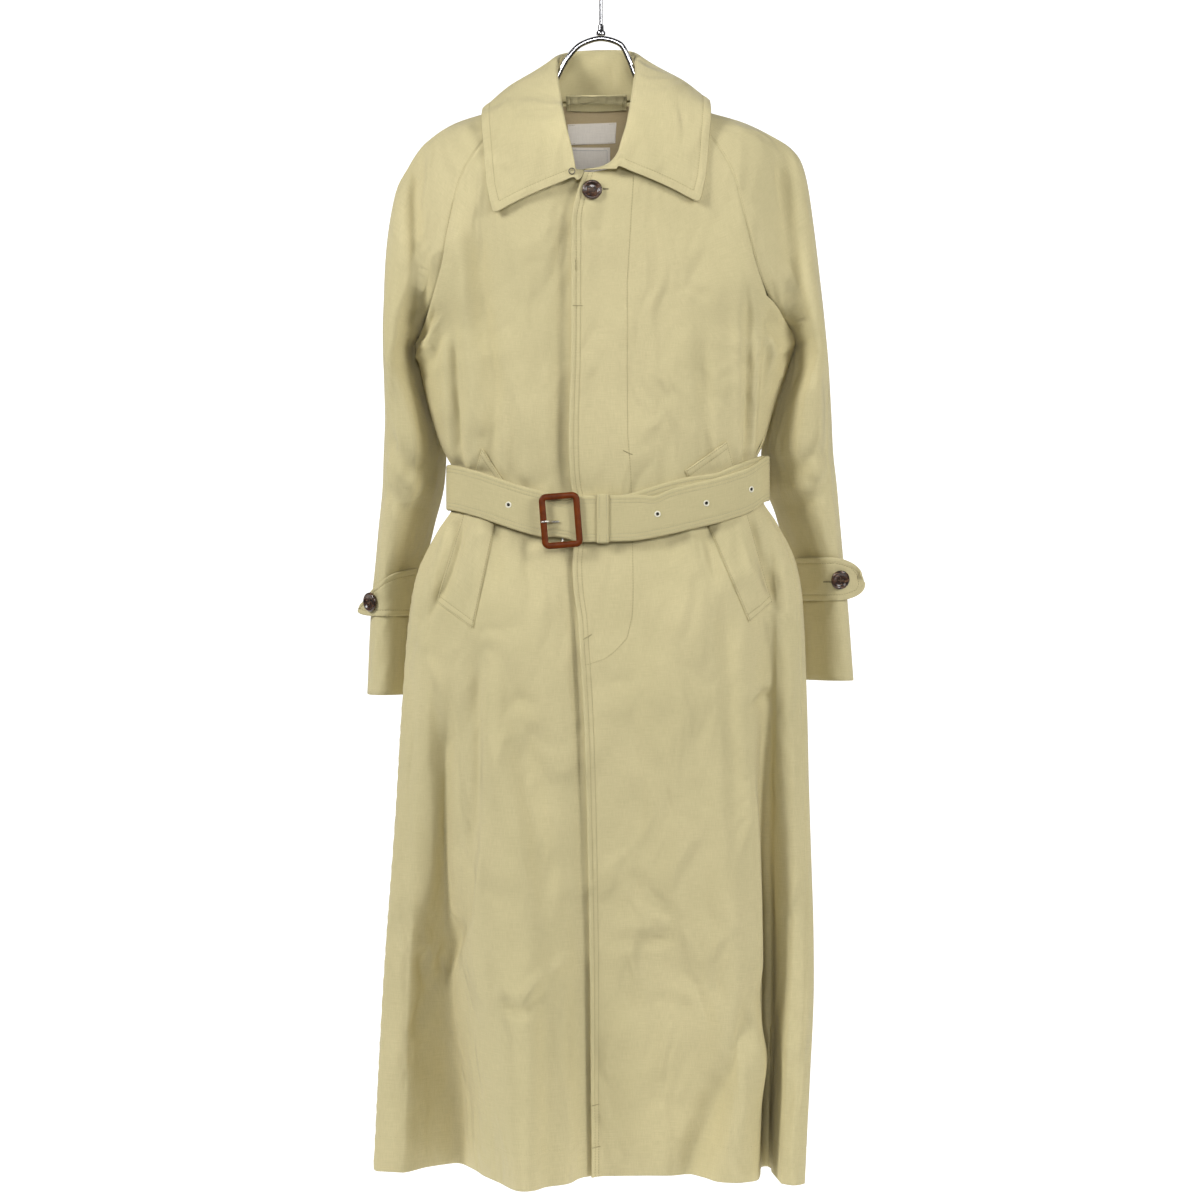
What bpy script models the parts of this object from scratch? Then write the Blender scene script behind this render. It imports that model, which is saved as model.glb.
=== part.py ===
"""A belted balmacaan coat hanging on a chrome hanger, cut in the pieces a maker would sew.

Frame: metres, +Z up. The origin is where the hanger's hook bears on its rail. +X is the viewer's right
and the coat's front faces -Y. Sizes and places below are in millimetres.
"""

import math

import bmesh
import bpy
import numpy as np
from mathutils import Vector
from mathutils.bvhtree import BVHTree

MM = 0.001

# ---------------------------------------------------------------- driving sizes, in millimetres
WALL = 1.4  # the cloth with its facing or lining
SEAM_GAP = 0.4  # between two panels that are sewn edge to edge
LAP_GAP = 0.5  # between a layer and the one that lies on it
COAT_X = -4.0  # the coat's middle line hangs a little left of the hook
TILT = 0.034  # the right shoulder hangs higher than the left
ARMPIT_Z = -459.0
NECK_FRONT_Z = -281.0  # the fronts' upper corner, under the collar
BELT_TOP_Z = -587.0
BELT_Z = -611.0
BELT_BOTTOM_Z = -635.0
HIP_Z = -739.0
MID_Z = -960.0
HEM_Z = -1367.0
SIDE_Y = -8.0  # where the body is widest
BELT_SAG = 42.0  # the belt and the waist hang lower in front
BELT_RISE = 5.0  # and higher at the viewer's right than at the left
SAG_END_Z = -900.0
SQUARE = 2.3  # roundness of the body's sections, 2 is an ellipse
NECK_DROP_POWER = 2.2
BELT_WALL = 2.4
BELT_STAND_OFF = 5.2  # from the middle of the cloth to the middle of the belt's inner layer
BELT_LAYER_STEP = BELT_WALL + 0.6
PATCH_WALL = 1.0  # pocket welts
PATCH_LIFT = 1.6
STRAP_WALL = 1.8
STRAP_LIFT = 2.6

# ---------------------------------------------------------------- steps of the facets
UPPER_ROWS = 7  # from the neck to the armpit
BODY_ROWS = (-459, -505, -548, -587, -611, -635, -668, -706, -750, -810, -880, -960, -1060, -1170,
             -1270, -1367)
SLEEVE_ROWS = (-462, -505, -550, -600, -650, -700, -739, -790, -844)
STEPS_PER_LINE = 2  # columns between two lines of the body
SLEEVE_STEPS = 8  # columns of one sleeve half

# Body sections. left, right, front and back are the furthest reaches.
BODY_SECTIONS = (
    # z, left, right, front, back
    (-459, -203, 213, -90, 84),
    (-536, -184, 189, -88, 80),
    (-574, -169, 178, -82, 74),
    (-590, -158, 171, -79, 71),
    (-611, -158, 173, -78, 70),
    (-632, -160, 176, -78, 70),
    (-659, -177, 193, -80, 74),
    (-706, -200, 216, -84, 88),
    (-739, -207, 223, -86, 98),
    (-849, -217, 228, -90, 106),
    (-960, -224, 230, -92, 110),
    (-1180, -240, 239, -94, 116),
    (-1367, -250, 240, -96, 120),
)

# The outline of shoulders and upper sleeves together, and their depth in front and behind.
SHOULDER_SECTIONS = (
    # z, left, right, front, back
    (-180, -60, 50, -20, 48),
    (-186, -80, 72, -30, 50),
    (-200, -108, 104, -44, 54),
    (-216, -158, 158, -57, 58),
    (-229, -185, 186, -66, 61),
    (-243, -206, 209, -74, 64),
    (-258, -218, 220, -80, 68),
    (-288, -229, 228, -86, 74),
    (-320, -233, 233, -88, 78),
    (-380, -236, 241, -90, 82),
    (-470, -238, 251, -90, 84),
)

# Lines that run down the body from armpit to hem. Degrees turn from the front (0) over the viewer's
# right (90) to the back (180); hip, mid and hem are where each ridge, valley or flat passes.
BODY_LINES = (
    # name, armpit_deg, belt_deg, hip_x, hip_y, mid_x, mid_y, hem_x, hem_y
    ("front_edge", -7.5, -9.5, -23, -85, -14, -78, -10, -34),
    ("right_flat_inner", 2.6, 7.8, 40, -86, 46, -80, 56, -24),
    ("right_flat_outer", 13.7, 23.8, 90, -84, 98, -82, 110, -34),
    ("right_ridge", 25.2, 38.6, 130, -78, 140, -82, 150, -66),
    ("right_lip", 36.6, 51, 158, -66, 164, -64, 172, -34),
    ("right_valley_near", 47.8, 60.2, 176, -50, 176, -22, 180, 26),
    ("right_valley_far", 58, 67, 186, -44, 186, -20, 187, 28),
    ("right_panel_lip", 68.3, 73.7, 198, -46, 198, -48, 190, -50),
    ("right_seam", 86, 83, 214, -32, 222, -36, 208, -80),
    ("right_side", 99, 94, 223, -8, 230, -8, 239, -34),
    ("back_right_turn", 110, 108, 216, 24, 224, 30, 234, 26),
    ("back_right_ridge", 124, 124, 194, 54, 206, 62, 220, 74),
    ("back_right_valley", 138, 138, 162, 74, 172, 66, 182, 72),
    ("back_ridge_b", 151, 151, 120, 92, 134, 96, 147, 108),
    ("back_valley_b", 162, 162, 76, 96, 90, 93, 104, 96),
    ("back_ridge_c", 172, 172, 34, 102, 44, 112, 56, 127),
    ("back_middle", 182, 182, -4, 100, 0, 104, 4, 108),
    ("back_ridge_d", 192, 193, -42, 102, -42, 106, -40, 116),
    ("back_valley_d", 203, 205, -84, 97, -88, 88, -92, 86),
    ("back_ridge_e", 216, 218, -126, 92, -138, 101, -148, 122),
    ("back_left_valley", 231, 232, -164, 72, -176, 68, -190, 74),
    ("back_left_ridge", 249, 247, -190, 46, -208, 58, -230, 72),
    ("left_seam", 272, 269, -207, -4, -224, 4, -250, 16),
    ("left_front_turn", 287, 281, -200, -28, -214, -20, -238, -8),
    ("left_shoulder_line", 295.6, 291, -188, -44, -200, -26, -216, -8),
    ("left_valley_near", 304, 300, -172, -50, -184, -22, -190, 26),
    ("left_valley_far", 312, 308, -156, -60, -168, -20, -160, 44),
    ("left_flank", 319.6, 316, -138, -72, -154, -48, -136, 4),
    ("left_rise", 327.6, 324, -118, -80, -138, -74, -110, -62),
    ("left_ridge", 336, 332, -94, -86, -110, -86, -82, -112),
    ("left_flat", 344.7, 341, -58, -87, -62, -84, -46, -84),
)
LINE_NAMES = [row[0] for row in BODY_LINES]
LINES = len(BODY_LINES)
RIGHT_SEAM = LINE_NAMES.index("right_seam")
LEFT_SEAM = LINE_NAMES.index("left_seam")

# Raglan seams from the neck (0) to the underarm (1), measured from the coat's middle line.
RAGLAN = (
    # at, front_x, front_z, back_x, back_z
    (0.00, 86, -214, 60, -187),
    (0.14, 110, -229, 84, -200),
    (0.28, 131, -253, 112, -226),
    (0.42, 148, -286, 136, -262),
    (0.58, 160, -334, 156, -318),
    (0.74, 172, -385, 172, -376),
    (0.88, 190, -430, 190, -430),
    (1.00, 208, -459, 208, -459),
)

# Height of each sleeve row where it crosses the overarm seam.
OVERARM = ((0.0, -187), (0.14, -203), (0.28, -221), (0.42, -241), (0.58, -275), (0.74, -335),
           (0.88, -400), (1.0, -462))

# Sleeve sections below the armpit: inner seam, overarm seam, and the reach in front and behind.
SLEEVE_LEFT = (
    # z, in_x, in_y, out_x, out_y, front, back
    (-462, -206, 8, -238, 12, -58, 104),
    (-536, -180, 32, -237, 24, -46, 112),
    (-579, -171, 40, -239, 30, -38, 115),
    (-607, -173, 46, -240, 36, -30, 118),
    (-660, -186, 56, -246, 48, -12, 124),
    (-706, -196, 66, -251, 60, 6, 130),
    (-739, -199, 74, -255, 68, 16, 134),
    (-844, -200, 86, -261, 84, 26, 142),
)
SLEEVE_RIGHT = (
    # z, in_x, in_y, out_x, out_y, front, back
    (-462, 218, 6, 250, 12, -58, 104),
    (-536, 186, 32, 255, 24, -46, 112),
    (-579, 179, 38, 258, 31, -38, 115),
    (-612, 184, 46, 262, 34, -26, 119),
    (-645, 197, 58, 265, 34, -15, 123),
    (-706, 212, 74, 271, 38, 8, 130),
    (-740, 216, 84, 275, 42, 17, 134),
    (-828, 218, 96, 282, 48, 25, 142),
)

SLEEVE_LEAN = 26.0  # how far the inner side leans out from the body

# A trough runs from each shoulder point down to the armpit, where the sleeve turns down.
GROOVE_WIDTH = 17.0
GROOVE_DEPTH = 8.0
GROOVES = {
    "left": ((-206, -262), (-198, -346), (-190, -394), (-204, -446)),
    "right": ((199, -246), (203, -293), (207, -340), (211, -398), (214, -440)),
}

# The collar, from its front corner (0) to the middle of the back (1), from the coat's middle line.
COLLAR = (
    # at, roll_x, roll_y, roll_z, edge_x, edge_y, edge_z
    (0.00, 24, -95, -276, 110, -89, -316),
    (0.12, 28, -92, -254, 117, -82, -287),
    (0.26, 36, -76, -224, 121, -71, -246),
    (0.42, 42, -44, -186, 124, -48, -209),
    (0.56, 46, -8, -153, 123, -4, -194),
    (0.68, 43, 22, -136, 108, 42, -199),
    (0.80, 31, 44, -128, 76, 62, -209),
    (0.90, 16, 53, -125, 38, 69, -213),
    (1.00, 0, 56, -124, 0, 71, -214),
)
COLLAR_BULGE = 5.0
COLLAR_LEFT_DROP = (10.0, 4.0)  # how much lower the left leaf's roll and its corner lie in front
COLLAR_FLAT = 0.28  # share of each half, from the front, where that drop fades and the leaf lies flat
COLLAR_SEAM_GAP = 3.0
COLLAR_FOLD = 3.0  # half the thickness of the roll
COLLAR_LEAF_STEPS = (0.1, 0.5, 1.0)

# Welts of the slanting pockets: corners as (x, z), seen from the front.
WELT_LEFT = ((-127, -576), (-104, -611), (-137, -769), (-177, -741))
WELT_RIGHT = ((137, -568), (92, -600), (161, -762), (187, -741))
WELT_STEPS = (14, 4)

# Pieces inside the back of the neck, corners as (x, z).
LABEL_UPPER = ((-36, -208), (18, -206), (17, -228), (-35, -230))
LABEL_LOWER = ((-34, -233), (11, -233), (11, -274), (-34, -274))
LABEL_WALL = 0.8
LABEL_LIFT = 1.4
HANGING_LOOP = ((-37, -185), (29, -184), (29, -193), (-37, -194))
LOOP_WALL = 1.6
LOOP_LIFT = 3.0

BELT_TIP_COLUMN = 17  # columns of the body's rings where the belt's tip and its buckle end lie
BELT_END_COLUMN = 0
# Cuff straps: across the sleeve's front half from the inner seam (0) to the overarm seam (1).
STRAPS = {
    # at, top_z, low_z
    "left": ((0.125, -704, -756), (0.4, -709, -756), (0.69, -724, -756)),
    "right": ((0.125, -692, -739), (0.4, -692, -739), (0.625, -692, -739)),
}
STRAP_TIPS = {
    # reach_x, reach_y, top_z, low_z
    "left": (-19, 20, -742, -757),
    "right": (30, 9, -697, -737),
}
STRAP_STEPS = (4, 6)
NECK_BUTTON_AT = (-8.5, -300.0)
BUTTON_DIAMETER = 21.5
BUTTON_THICK = 4.2
BUCKLE_AT = (-42.0, -654.0)
BUCKLE_SIZE = (43.5, 59.0)
BUCKLE_BAR = 6.8
BUCKLE_THICK = 4.4
BUCKLE_LEAN_DEG = 4.5
KEEPER_AT_X = 3.0
KEEPER_WIDTH = 12.0
EYELET_XS = (-98.0, 61.5, 114.0, 163.0)
EYELET_RADIUS = 2.6
EYELET_WIRE = 0.8
EYE_AT = (-30.0, -96.6, -281.0)
EYE_RADIUS = 3.2
EYE_WIRE = 0.6
TUBE_RADIUS = 3.0
HOOK_WIRE = 1.9
SWIVEL_PROFILE = ((0.0, 0.0), (5.0, 0.0), (5.0, 4.0), (3.0, 6.0), (3.0, 11.6), (0.0, 11.6))  # radius, height
HOOK_RADIUS = 22.0
HANGER_APEX_Z = -121.0
HANGER_BOW = (
    # x, y, z
    (-203, 4, -256), (-172, 4, -236), (-136, 4, -219), (-84, 4, -201), (-52, 4, -172), (-36, 3, -143),
    (-20, 2, -127), (1, 2, HANGER_APEX_Z), (22, 2, -127), (31, 3, -142), (40, 4, -164), (57, 4, -187),
    (86, 4, -203), (138, 4, -218), (174, 4, -233), (199, 4, -250),
)

CLOTH = ((0.60, 0.55, 0.36), 0.85, 0.0)
LINING = ((0.40, 0.32, 0.24), 0.6, 0.0)
LABEL = ((0.75, 0.73, 0.69), 0.7, 0.0)
LEATHER = ((0.26, 0.07, 0.02), 0.4, 0.0)
HORN = ((0.07, 0.045, 0.03), 0.3, 0.0)
CHROME = ((0.75, 0.75, 0.77), 0.12, 1.0)
BRASS = ((0.55, 0.52, 0.42), 0.35, 1.0)


# ---------------------------------------------------------------- curves and sections
def read_table(rows, at, column=0):
    """Smooth values of a table's other columns at the stations `at`, with no overshoot."""
    table = np.array([[float(cell) for cell in row] for row in rows])
    table = table[np.argsort(table[:, column])]
    knots = table[:, column]
    values = np.delete(table, column, axis=1)
    steps = np.diff(knots)[:, None]
    rise = np.diff(values, axis=0) / steps
    slopes = np.vstack([rise[:1], np.zeros((len(knots) - 2, values.shape[1])), rise[-1:]])
    product = rise[:-1] * rise[1:]
    weight_a = 2 * steps[1:] + steps[:-1]
    weight_b = steps[1:] + 2 * steps[:-1]
    safe = np.where(product > 0, 1.0, np.nan)
    mean = (weight_a + weight_b) / (weight_a / (rise[:-1] * safe) + weight_b / (rise[1:] * safe))
    slopes[1:-1] = np.nan_to_num(mean)
    at = np.clip(np.asarray(at, float), knots[0], knots[-1])
    index = np.clip(np.searchsorted(knots, at, side="right") - 1, 0, len(knots) - 2)
    step = (knots[index + 1] - knots[index])[..., None]
    along = ((at - knots[index])[..., None]) / step
    square, cube = along ** 2, along ** 3
    return (values[index] * (2 * cube - 3 * square + 1) + slopes[index] * step * (cube - 2 * square + along)
            + values[index + 1] * (3 * square - 2 * cube) + slopes[index + 1] * step * (cube - square))


def smoothstep(value):
    value = np.clip(value, 0.0, 1.0)
    return value * value * (3 - 2 * value)


def signed_power(value, power):
    return np.sign(value) * np.abs(value) ** power


def body_oval(z, degrees):
    """The plain section of the body at z: x and y at a direction."""
    left, right, front, back = np.moveaxis(read_table(BODY_SECTIONS, z), -1, 0)
    turn = np.radians(degrees)
    x = (left + right) / 2 + (right - left) / 2 * signed_power(np.sin(turn), 2 / SQUARE)
    ahead = signed_power(np.cos(turn), 2 / SQUARE)
    y = SIDE_Y + np.where(ahead > 0, (front - SIDE_Y) * ahead, (SIDE_Y - back) * ahead)
    return np.stack([x, y], axis=-1)


def waist_sag(z, degrees):
    """How much lower a row hangs than its nominal height, most at the front of the belt."""
    ahead = np.maximum(np.cos(np.radians(degrees)), 0.0) ** 3
    above = smoothstep((ARMPIT_Z - z) / (ARMPIT_Z - BELT_TOP_Z))
    below = smoothstep((z - SAG_END_Z) / (BELT_BOTTOM_Z - SAG_END_Z))
    level = BELT_RISE * np.sin(np.radians(degrees)) - BELT_SAG * ahead
    return level * np.minimum(above, below)


def ring_curve(points, steps):
    """A closed smooth curve through each row's points (rows, lines, 2), `steps` columns a line."""
    ahead = np.roll(points, -1, axis=1)
    length = np.sqrt(np.maximum(np.linalg.norm(ahead - points, axis=-1, keepdims=True), 1e-6))
    before = np.roll(length, 1, axis=1)
    slope = (ahead - points) / length
    slope_before = np.roll(slope, 1, axis=1)
    tangent = slope_before + slope - (ahead - np.roll(points, 1, axis=1)) / (before + length)
    tangent_ahead = np.roll(tangent, -1, axis=1)
    columns = []
    for step in range(steps):
        u = step / steps
        columns.append(points * (2 * u ** 3 - 3 * u ** 2 + 1) + tangent * length * (u ** 3 - 2 * u ** 2 + u)
                       + ahead * (3 * u ** 2 - 2 * u ** 3) + tangent_ahead * length * (u ** 3 - u ** 2))
    return np.stack(columns, axis=2).reshape(len(points), -1, points.shape[-1])


def body_rings(heights, steps):
    """The body below the armpit as rows of points, all the way round (rows, columns, 3)."""
    heights = np.asarray(heights, float)
    table = np.array([row[1:] for row in BODY_LINES], float)
    armpit_deg, belt_deg = table[:, 0].copy(), table[:, 1].copy()
    armpit_deg[armpit_deg > 340] -= 360
    belt_deg[belt_deg > 340] -= 360
    share = smoothstep((ARMPIT_Z - heights) / (ARMPIT_Z - BELT_Z))[:, None]
    degrees = armpit_deg * (1 - share) + belt_deg * share
    plain = body_oval(np.broadcast_to(heights[:, None], degrees.shape), degrees)
    relief = []
    for line in range(LINES):
        rows = [(ARMPIT_Z, 0, 0), (BELT_BOTTOM_Z, 0, 0)]
        for level, column in ((HIP_Z, 2), (MID_Z, 4), (HEM_Z, 6)):
            base = body_oval(np.array(level), belt_deg[line])
            rows.append((level, table[line, column] - base[0], table[line, column + 1] - base[1]))
        relief.append(read_table(rows, heights))
    flat = ring_curve(plain + np.stack(relief, axis=1), steps)
    sag = waist_sag(heights[:, None], degrees)
    drop = ring_curve(np.stack([sag, sag], axis=-1), steps)[..., :1]
    return np.concatenate([flat, heights[:, None, None] + drop], axis=-1)


def shoulder_depth(x, z, front):
    """y of the shoulders' and chest's surface, above the armpit."""
    left, right, ahead, behind = np.moveaxis(read_table(SHOULDER_SECTIONS, z), -1, 0)
    away = np.abs(x - (left + right) / 2) / ((right - left) / 2)
    reach = np.maximum(1 - away ** 2.4, 0.0) ** (1 / 2.4)
    return (ahead if front else behind) * reach


def raglan_line(side, at, front, underarm):
    """A raglan seam's points (rows, 3); side is -1 for the viewer's left."""
    at = np.asarray(at, float)
    values = read_table(RAGLAN, at)
    x, z = (values[:, 0], values[:, 1]) if front else (values[:, 2], values[:, 3])
    x = COAT_X + side * x
    z = z + TILT * (x - COAT_X) * (1 - at)
    x = x + (underarm[0] - x[-1]) * at ** 4
    y = shoulder_depth(x, z, front)
    turn_in = smoothstep((at - 0.7) / 0.3) ** 1.5
    return np.stack([x, y * (1 - turn_in) + underarm[1] * turn_in, z], axis=-1)


def rows_between(at, start, end):
    """Rows above the armpit: one number for each row, from the neck (0) to the armpit (1)."""
    return start + (end - start) * np.asarray(at)


def front_upper(side, at, edge, seam_curve, armpit_row):
    """A front panel above the armpit, from its front edge to the raglan seam (rows, columns, 3)."""
    at = np.asarray(at)[:, None]
    span = armpit_row[-1, 0] - armpit_row[0, 0]
    share = ((armpit_row[:, 0] - armpit_row[0, 0]) / span)[None, :]
    x = edge[:, 0][:, None] + (seam_curve[:, 0] - edge[:, 0])[:, None] * share
    power = NECK_DROP_POWER + (1.4 - NECK_DROP_POWER) * at
    z = edge[:, 2][:, None] + (seam_curve[:, 2] - edge[:, 2])[:, None] * share ** power
    to_ring = smoothstep((at - 0.5) / 0.5)
    y = shoulder_depth(x, z, True) * (1 - to_ring) + armpit_row[:, 1][None, :] * to_ring
    y = y + (seam_curve[:, 1][:, None] - y[:, -1:]) * share ** 4
    return np.stack([x, y, z], axis=-1)


def back_upper(at, right_curve, left_curve, armpit_row):
    """The back above the armpit, from the right raglan seam to the left one."""
    at = np.asarray(at)[:, None]
    share = ((armpit_row[:, 0] - armpit_row[0, 0]) / (armpit_row[-1, 0] - armpit_row[0, 0]))[None, :]
    x = right_curve[:, 0][:, None] + (left_curve[:, 0] - right_curve[:, 0])[:, None] * share
    middle_z = rows_between(at, -184.0, ARMPIT_Z)
    edge_z = right_curve[:, 2][:, None] * (1 - share) + left_curve[:, 2][:, None] * share
    z = middle_z + (edge_z - middle_z) * np.abs(2 * share - 1) ** 1.6
    to_ring = smoothstep((at - 0.5) / 0.5)
    y = shoulder_depth(x, z, False) * (1 - to_ring) + armpit_row[:, 1][None, :] * to_ring
    y = y + (right_curve[:, 1][:, None] - y[:, :1]) * (1 - share) ** 6
    y = y + (left_curve[:, 1][:, None] - y[:, -1:]) * share ** 6
    return np.stack([x, y, z], axis=-1)


def bezier(start, lead, trail, end, steps):
    u = np.linspace(0, 1, steps + 1)[None, :, None]
    start, lead, trail, end = (point[:, None, :] for point in (start, lead, trail, end))
    return (start * (1 - u) ** 3 + 3 * lead * u * (1 - u) ** 2 + 3 * trail * u ** 2 * (1 - u) + end * u ** 3)


def sleeve_half(side, front, at, seam_curve, table, lower_rows, steps):
    """Half a sleeve, from the raglan or inner seam to the overarm seam (rows, columns, 3)."""
    at = np.asarray(at, float)
    top_z = read_table(OVERARM, at)[:, 0]
    sections = read_table(SHOULDER_SECTIONS, top_z)
    top = np.stack([sections[:, 0 if side < 0 else 1], np.zeros(len(at)), top_z], axis=-1)
    lower = read_table(table, np.asarray(lower_rows, float))
    in_x, in_y, out_x, out_y, ahead, behind = lower.T
    zs = np.asarray(lower_rows, float)
    inner = np.stack([in_x, in_y, zs], axis=-1)
    outer = np.stack([out_x, out_y, zs], axis=-1)
    reach = ahead if front else behind
    level = (reach - (in_y + out_y) / 8) / 0.75
    to_tube = smoothstep((at - 0.6) / 0.4)[:, None]
    top[:, 1] += outer[0, 1] * to_tube[:, 0]
    top[:, 0] += (outer[0, 0] - top[-1, 0]) * to_tube[:, 0]
    seam = seam_curve.copy()
    seam[:, 0] += (inner[0, 0] - seam[-1, 0]) * at ** 8
    seam[:, 1] += (inner[0, 1] - seam[-1, 1]) * at ** 8
    seam[:, 2] += (inner[0, 2] - seam[-1, 2]) * at ** 8
    across = top - seam
    high_lead = seam + across * np.array([0.42, 0.16, 0.42])
    high_trail = top + np.stack([0 * at, 0.6 * (seam[:, 1] - top[:, 1]), 0 * at], axis=-1)
    low_lead = np.stack([seam[:, 0] + side * SLEEVE_LEAN, 0 * at + level[0], seam[:, 2]], axis=-1)
    low_trail = np.stack([top[:, 0], 0 * at + level[0], top[:, 2]], axis=-1)
    lead = high_lead * (1 - to_tube) + low_lead * to_tube
    trail = high_trail * (1 - to_tube) + low_trail * to_tube
    upper = bezier(seam, lead, trail, top, steps)
    tube_lead = np.stack([in_x + side * SLEEVE_LEAN, level, zs], axis=-1)
    tube_trail = np.stack([out_x, level, zs], axis=-1)
    tube = bezier(inner, tube_lead, tube_trail, outer, steps)
    half = np.concatenate([upper[:-1], tube], axis=0)
    return dent(half, GROOVES["left" if side < 0 else "right"], GROOVE_WIDTH, GROOVE_DEPTH) if front else half


def dent(grid, route, width, depth):
    """Presses a soft trough into the front of a grid along a route of (x, z) points."""
    grid = grid.copy()
    nearest = np.full(grid.shape[:2], 1e9)
    flat = grid[..., (0, 2)]
    for start, end in zip(route[:-1], route[1:]):
        start, end = np.array(start, float), np.array(end, float)
        span = end - start
        along = np.clip(((flat - start) @ span) / (span @ span), 0, 1)
        nearest = np.minimum(nearest, np.linalg.norm(flat - start - along[..., None] * span, axis=-1))
    fade = smoothstep(-grid[..., 1] / 30)
    grid[..., 1] += depth * np.exp(-(nearest / width) ** 2 * 2) * fade
    return grid


# ---------------------------------------------------------------- solids
def material(name, look):
    color, roughness, metallic = look
    found = bpy.data.materials.get(name)
    if found:
        return found
    made = bpy.data.materials.new(name)
    made.use_nodes = True
    shader = made.node_tree.nodes["Principled BSDF"]
    shader.inputs["Base Color"].default_value = (*color, 1.0)
    shader.inputs["Roughness"].default_value = roughness
    shader.inputs["Metallic"].default_value = metallic
    return made


def make_object(name, points, faces, look):
    """One named object from points in millimetres; the faces are turned outward."""
    mesh = bpy.data.meshes.new(name)
    mesh.from_pydata([tuple(float(value) * MM for value in point) for point in points], [], faces)
    edit = bmesh.new()
    edit.from_mesh(mesh)
    bmesh.ops.triangulate(edit, faces=edit.faces[:])
    bmesh.ops.recalc_face_normals(edit, faces=edit.faces[:])
    if edit.calc_volume(signed=True) < 0:
        bmesh.ops.reverse_faces(edit, faces=edit.faces[:])
    edit.to_mesh(mesh)
    edit.free()
    mesh.shade_smooth()
    mesh.set_sharp_from_angle(angle=math.radians(40))
    mesh.materials.append(material("finish_" + name, look))
    thing = bpy.data.objects.new(name, mesh)
    bpy.context.scene.collection.objects.link(thing)
    return thing


def grid_normals(grid, outward=1.0, closed=False):
    """Unit normals of a grid (rows down, columns round)."""
    down = np.gradient(grid, axis=0)
    if closed:
        around = (np.roll(grid, -1, axis=1) - np.roll(grid, 1, axis=1)) / 2
    else:
        around = np.gradient(grid, axis=1)
    normal = np.cross(down, around) * outward
    return normal / np.maximum(np.linalg.norm(normal, axis=-1, keepdims=True), 1e-9)


def wall(name, grid, normals, thick, look, closed=False, shift=0.0):
    """A cloth wall: the grid moved out and in by half its thickness, joined by rims."""
    rows, columns = grid.shape[:2]
    outer = grid + normals * (shift + thick / 2)
    inner = grid + normals * (shift - thick / 2)
    points = np.concatenate([outer.reshape(-1, 3), inner.reshape(-1, 3)])
    half = rows * columns

    def at(row, column, layer):
        return layer * half + row * columns + column % columns

    faces = []
    for row in range(rows - 1):
        for column in range(columns if closed else columns - 1):
            corners = ((row, column), (row, column + 1), (row + 1, column + 1), (row + 1, column))
            faces.append([at(*corner, 0) for corner in corners])
            faces.append([at(*corner, 1) for corner in corners[::-1]])
    for row in (0, rows - 1):
        for column in range(columns if closed else columns - 1):
            rim = (at(row, column, 0), at(row, column, 1), at(row, column + 1, 1), at(row, column + 1, 0))
            faces.append(rim if row == 0 else rim[::-1])
    if not closed:
        for column in (0, columns - 1):
            for row in range(rows - 1):
                rim = (at(row, column, 0), at(row + 1, column, 0), at(row + 1, column, 1), at(row, column, 1))
                faces.append(rim if column == 0 else rim[::-1])
    return make_object(name, points, faces, look)


def set_back(grid, normals, other_normals, column, rows=slice(None), least=SEAM_GAP / 2, most=4.2):
    """Moves a boundary column inward so that two walls meeting at an angle stay apart."""
    inward = column + 1 if column == 0 else column - 1
    edge, inside = grid[rows, column], grid[rows, inward]
    direction = inside - edge
    room = np.linalg.norm(direction, axis=-1, keepdims=True)
    direction = direction / np.maximum(room, 1e-6)
    cosine = np.clip((normals[rows, column] * other_normals).sum(axis=-1), -0.95, 1.0)
    push = np.minimum(least + WALL / 2 * np.sqrt((1 - cosine) / (1 + cosine)), most)[..., None]
    grid[rows, column] = edge + direction * np.minimum(push, room * 0.45)


def tube_along(points, radius, sides):
    """Points and faces of a tube with flat ends along a smooth list of points."""
    points = np.asarray(points, float)
    tangents = np.gradient(points, axis=0)
    tangents /= np.linalg.norm(tangents, axis=1, keepdims=True)
    normal = np.cross(tangents[0], (0.0, 1.0, 0.0))
    normal /= np.linalg.norm(normal)
    rings = []
    for point, tangent in zip(points, tangents):
        normal = normal - tangent * (normal @ tangent)
        normal /= np.linalg.norm(normal)
        side = np.cross(tangent, normal)
        for corner in range(sides):
            turn = 2 * math.pi * corner / sides
            rings.append(point + radius * (math.cos(turn) * normal + math.sin(turn) * side))
    faces = []
    for ring in range(len(points) - 1):
        for corner in range(sides):
            ahead = (corner + 1) % sides
            here, after = ring * sides, (ring + 1) * sides
            faces.append((here + corner, here + ahead, after + ahead, after + corner))
    faces.append(tuple(range(sides)))
    faces.append(tuple(range((len(points) - 1) * sides, len(points) * sides)))
    return rings, faces


def smooth_route(points, steps):
    """A smooth open curve through hand-chosen points."""
    points = np.asarray(points, float)
    at = np.concatenate([[0], np.cumsum(np.linalg.norm(np.diff(points, axis=0), axis=1))])
    rows = [(a, *point) for a, point in zip(at, points)]
    return read_table(rows, np.linspace(0, at[-1], steps + 1))


def ring_solid(name, centre, axes, profile, sides, look):
    """A turned ring: profile of (radius, height) corners round a centre; axes are (u, v, normal)."""
    u_axis, v_axis, up = (np.asarray(axis, float) for axis in axes)
    points, faces = [], []
    count = len(profile)
    for step in range(sides):
        turn = 2 * math.pi * step / sides
        out = math.cos(turn) * u_axis + math.sin(turn) * v_axis
        for radius, height in profile:
            points.append(np.asarray(centre, float) + out * radius + up * height)
    for step in range(sides):
        ahead = (step + 1) % sides
        for corner in range(count):
            after = (corner + 1) % count
            here, there = step * count, ahead * count
            faces.append((here + corner, there + corner, there + after, here + after))
    return make_object(name, points, faces, look)


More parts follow.
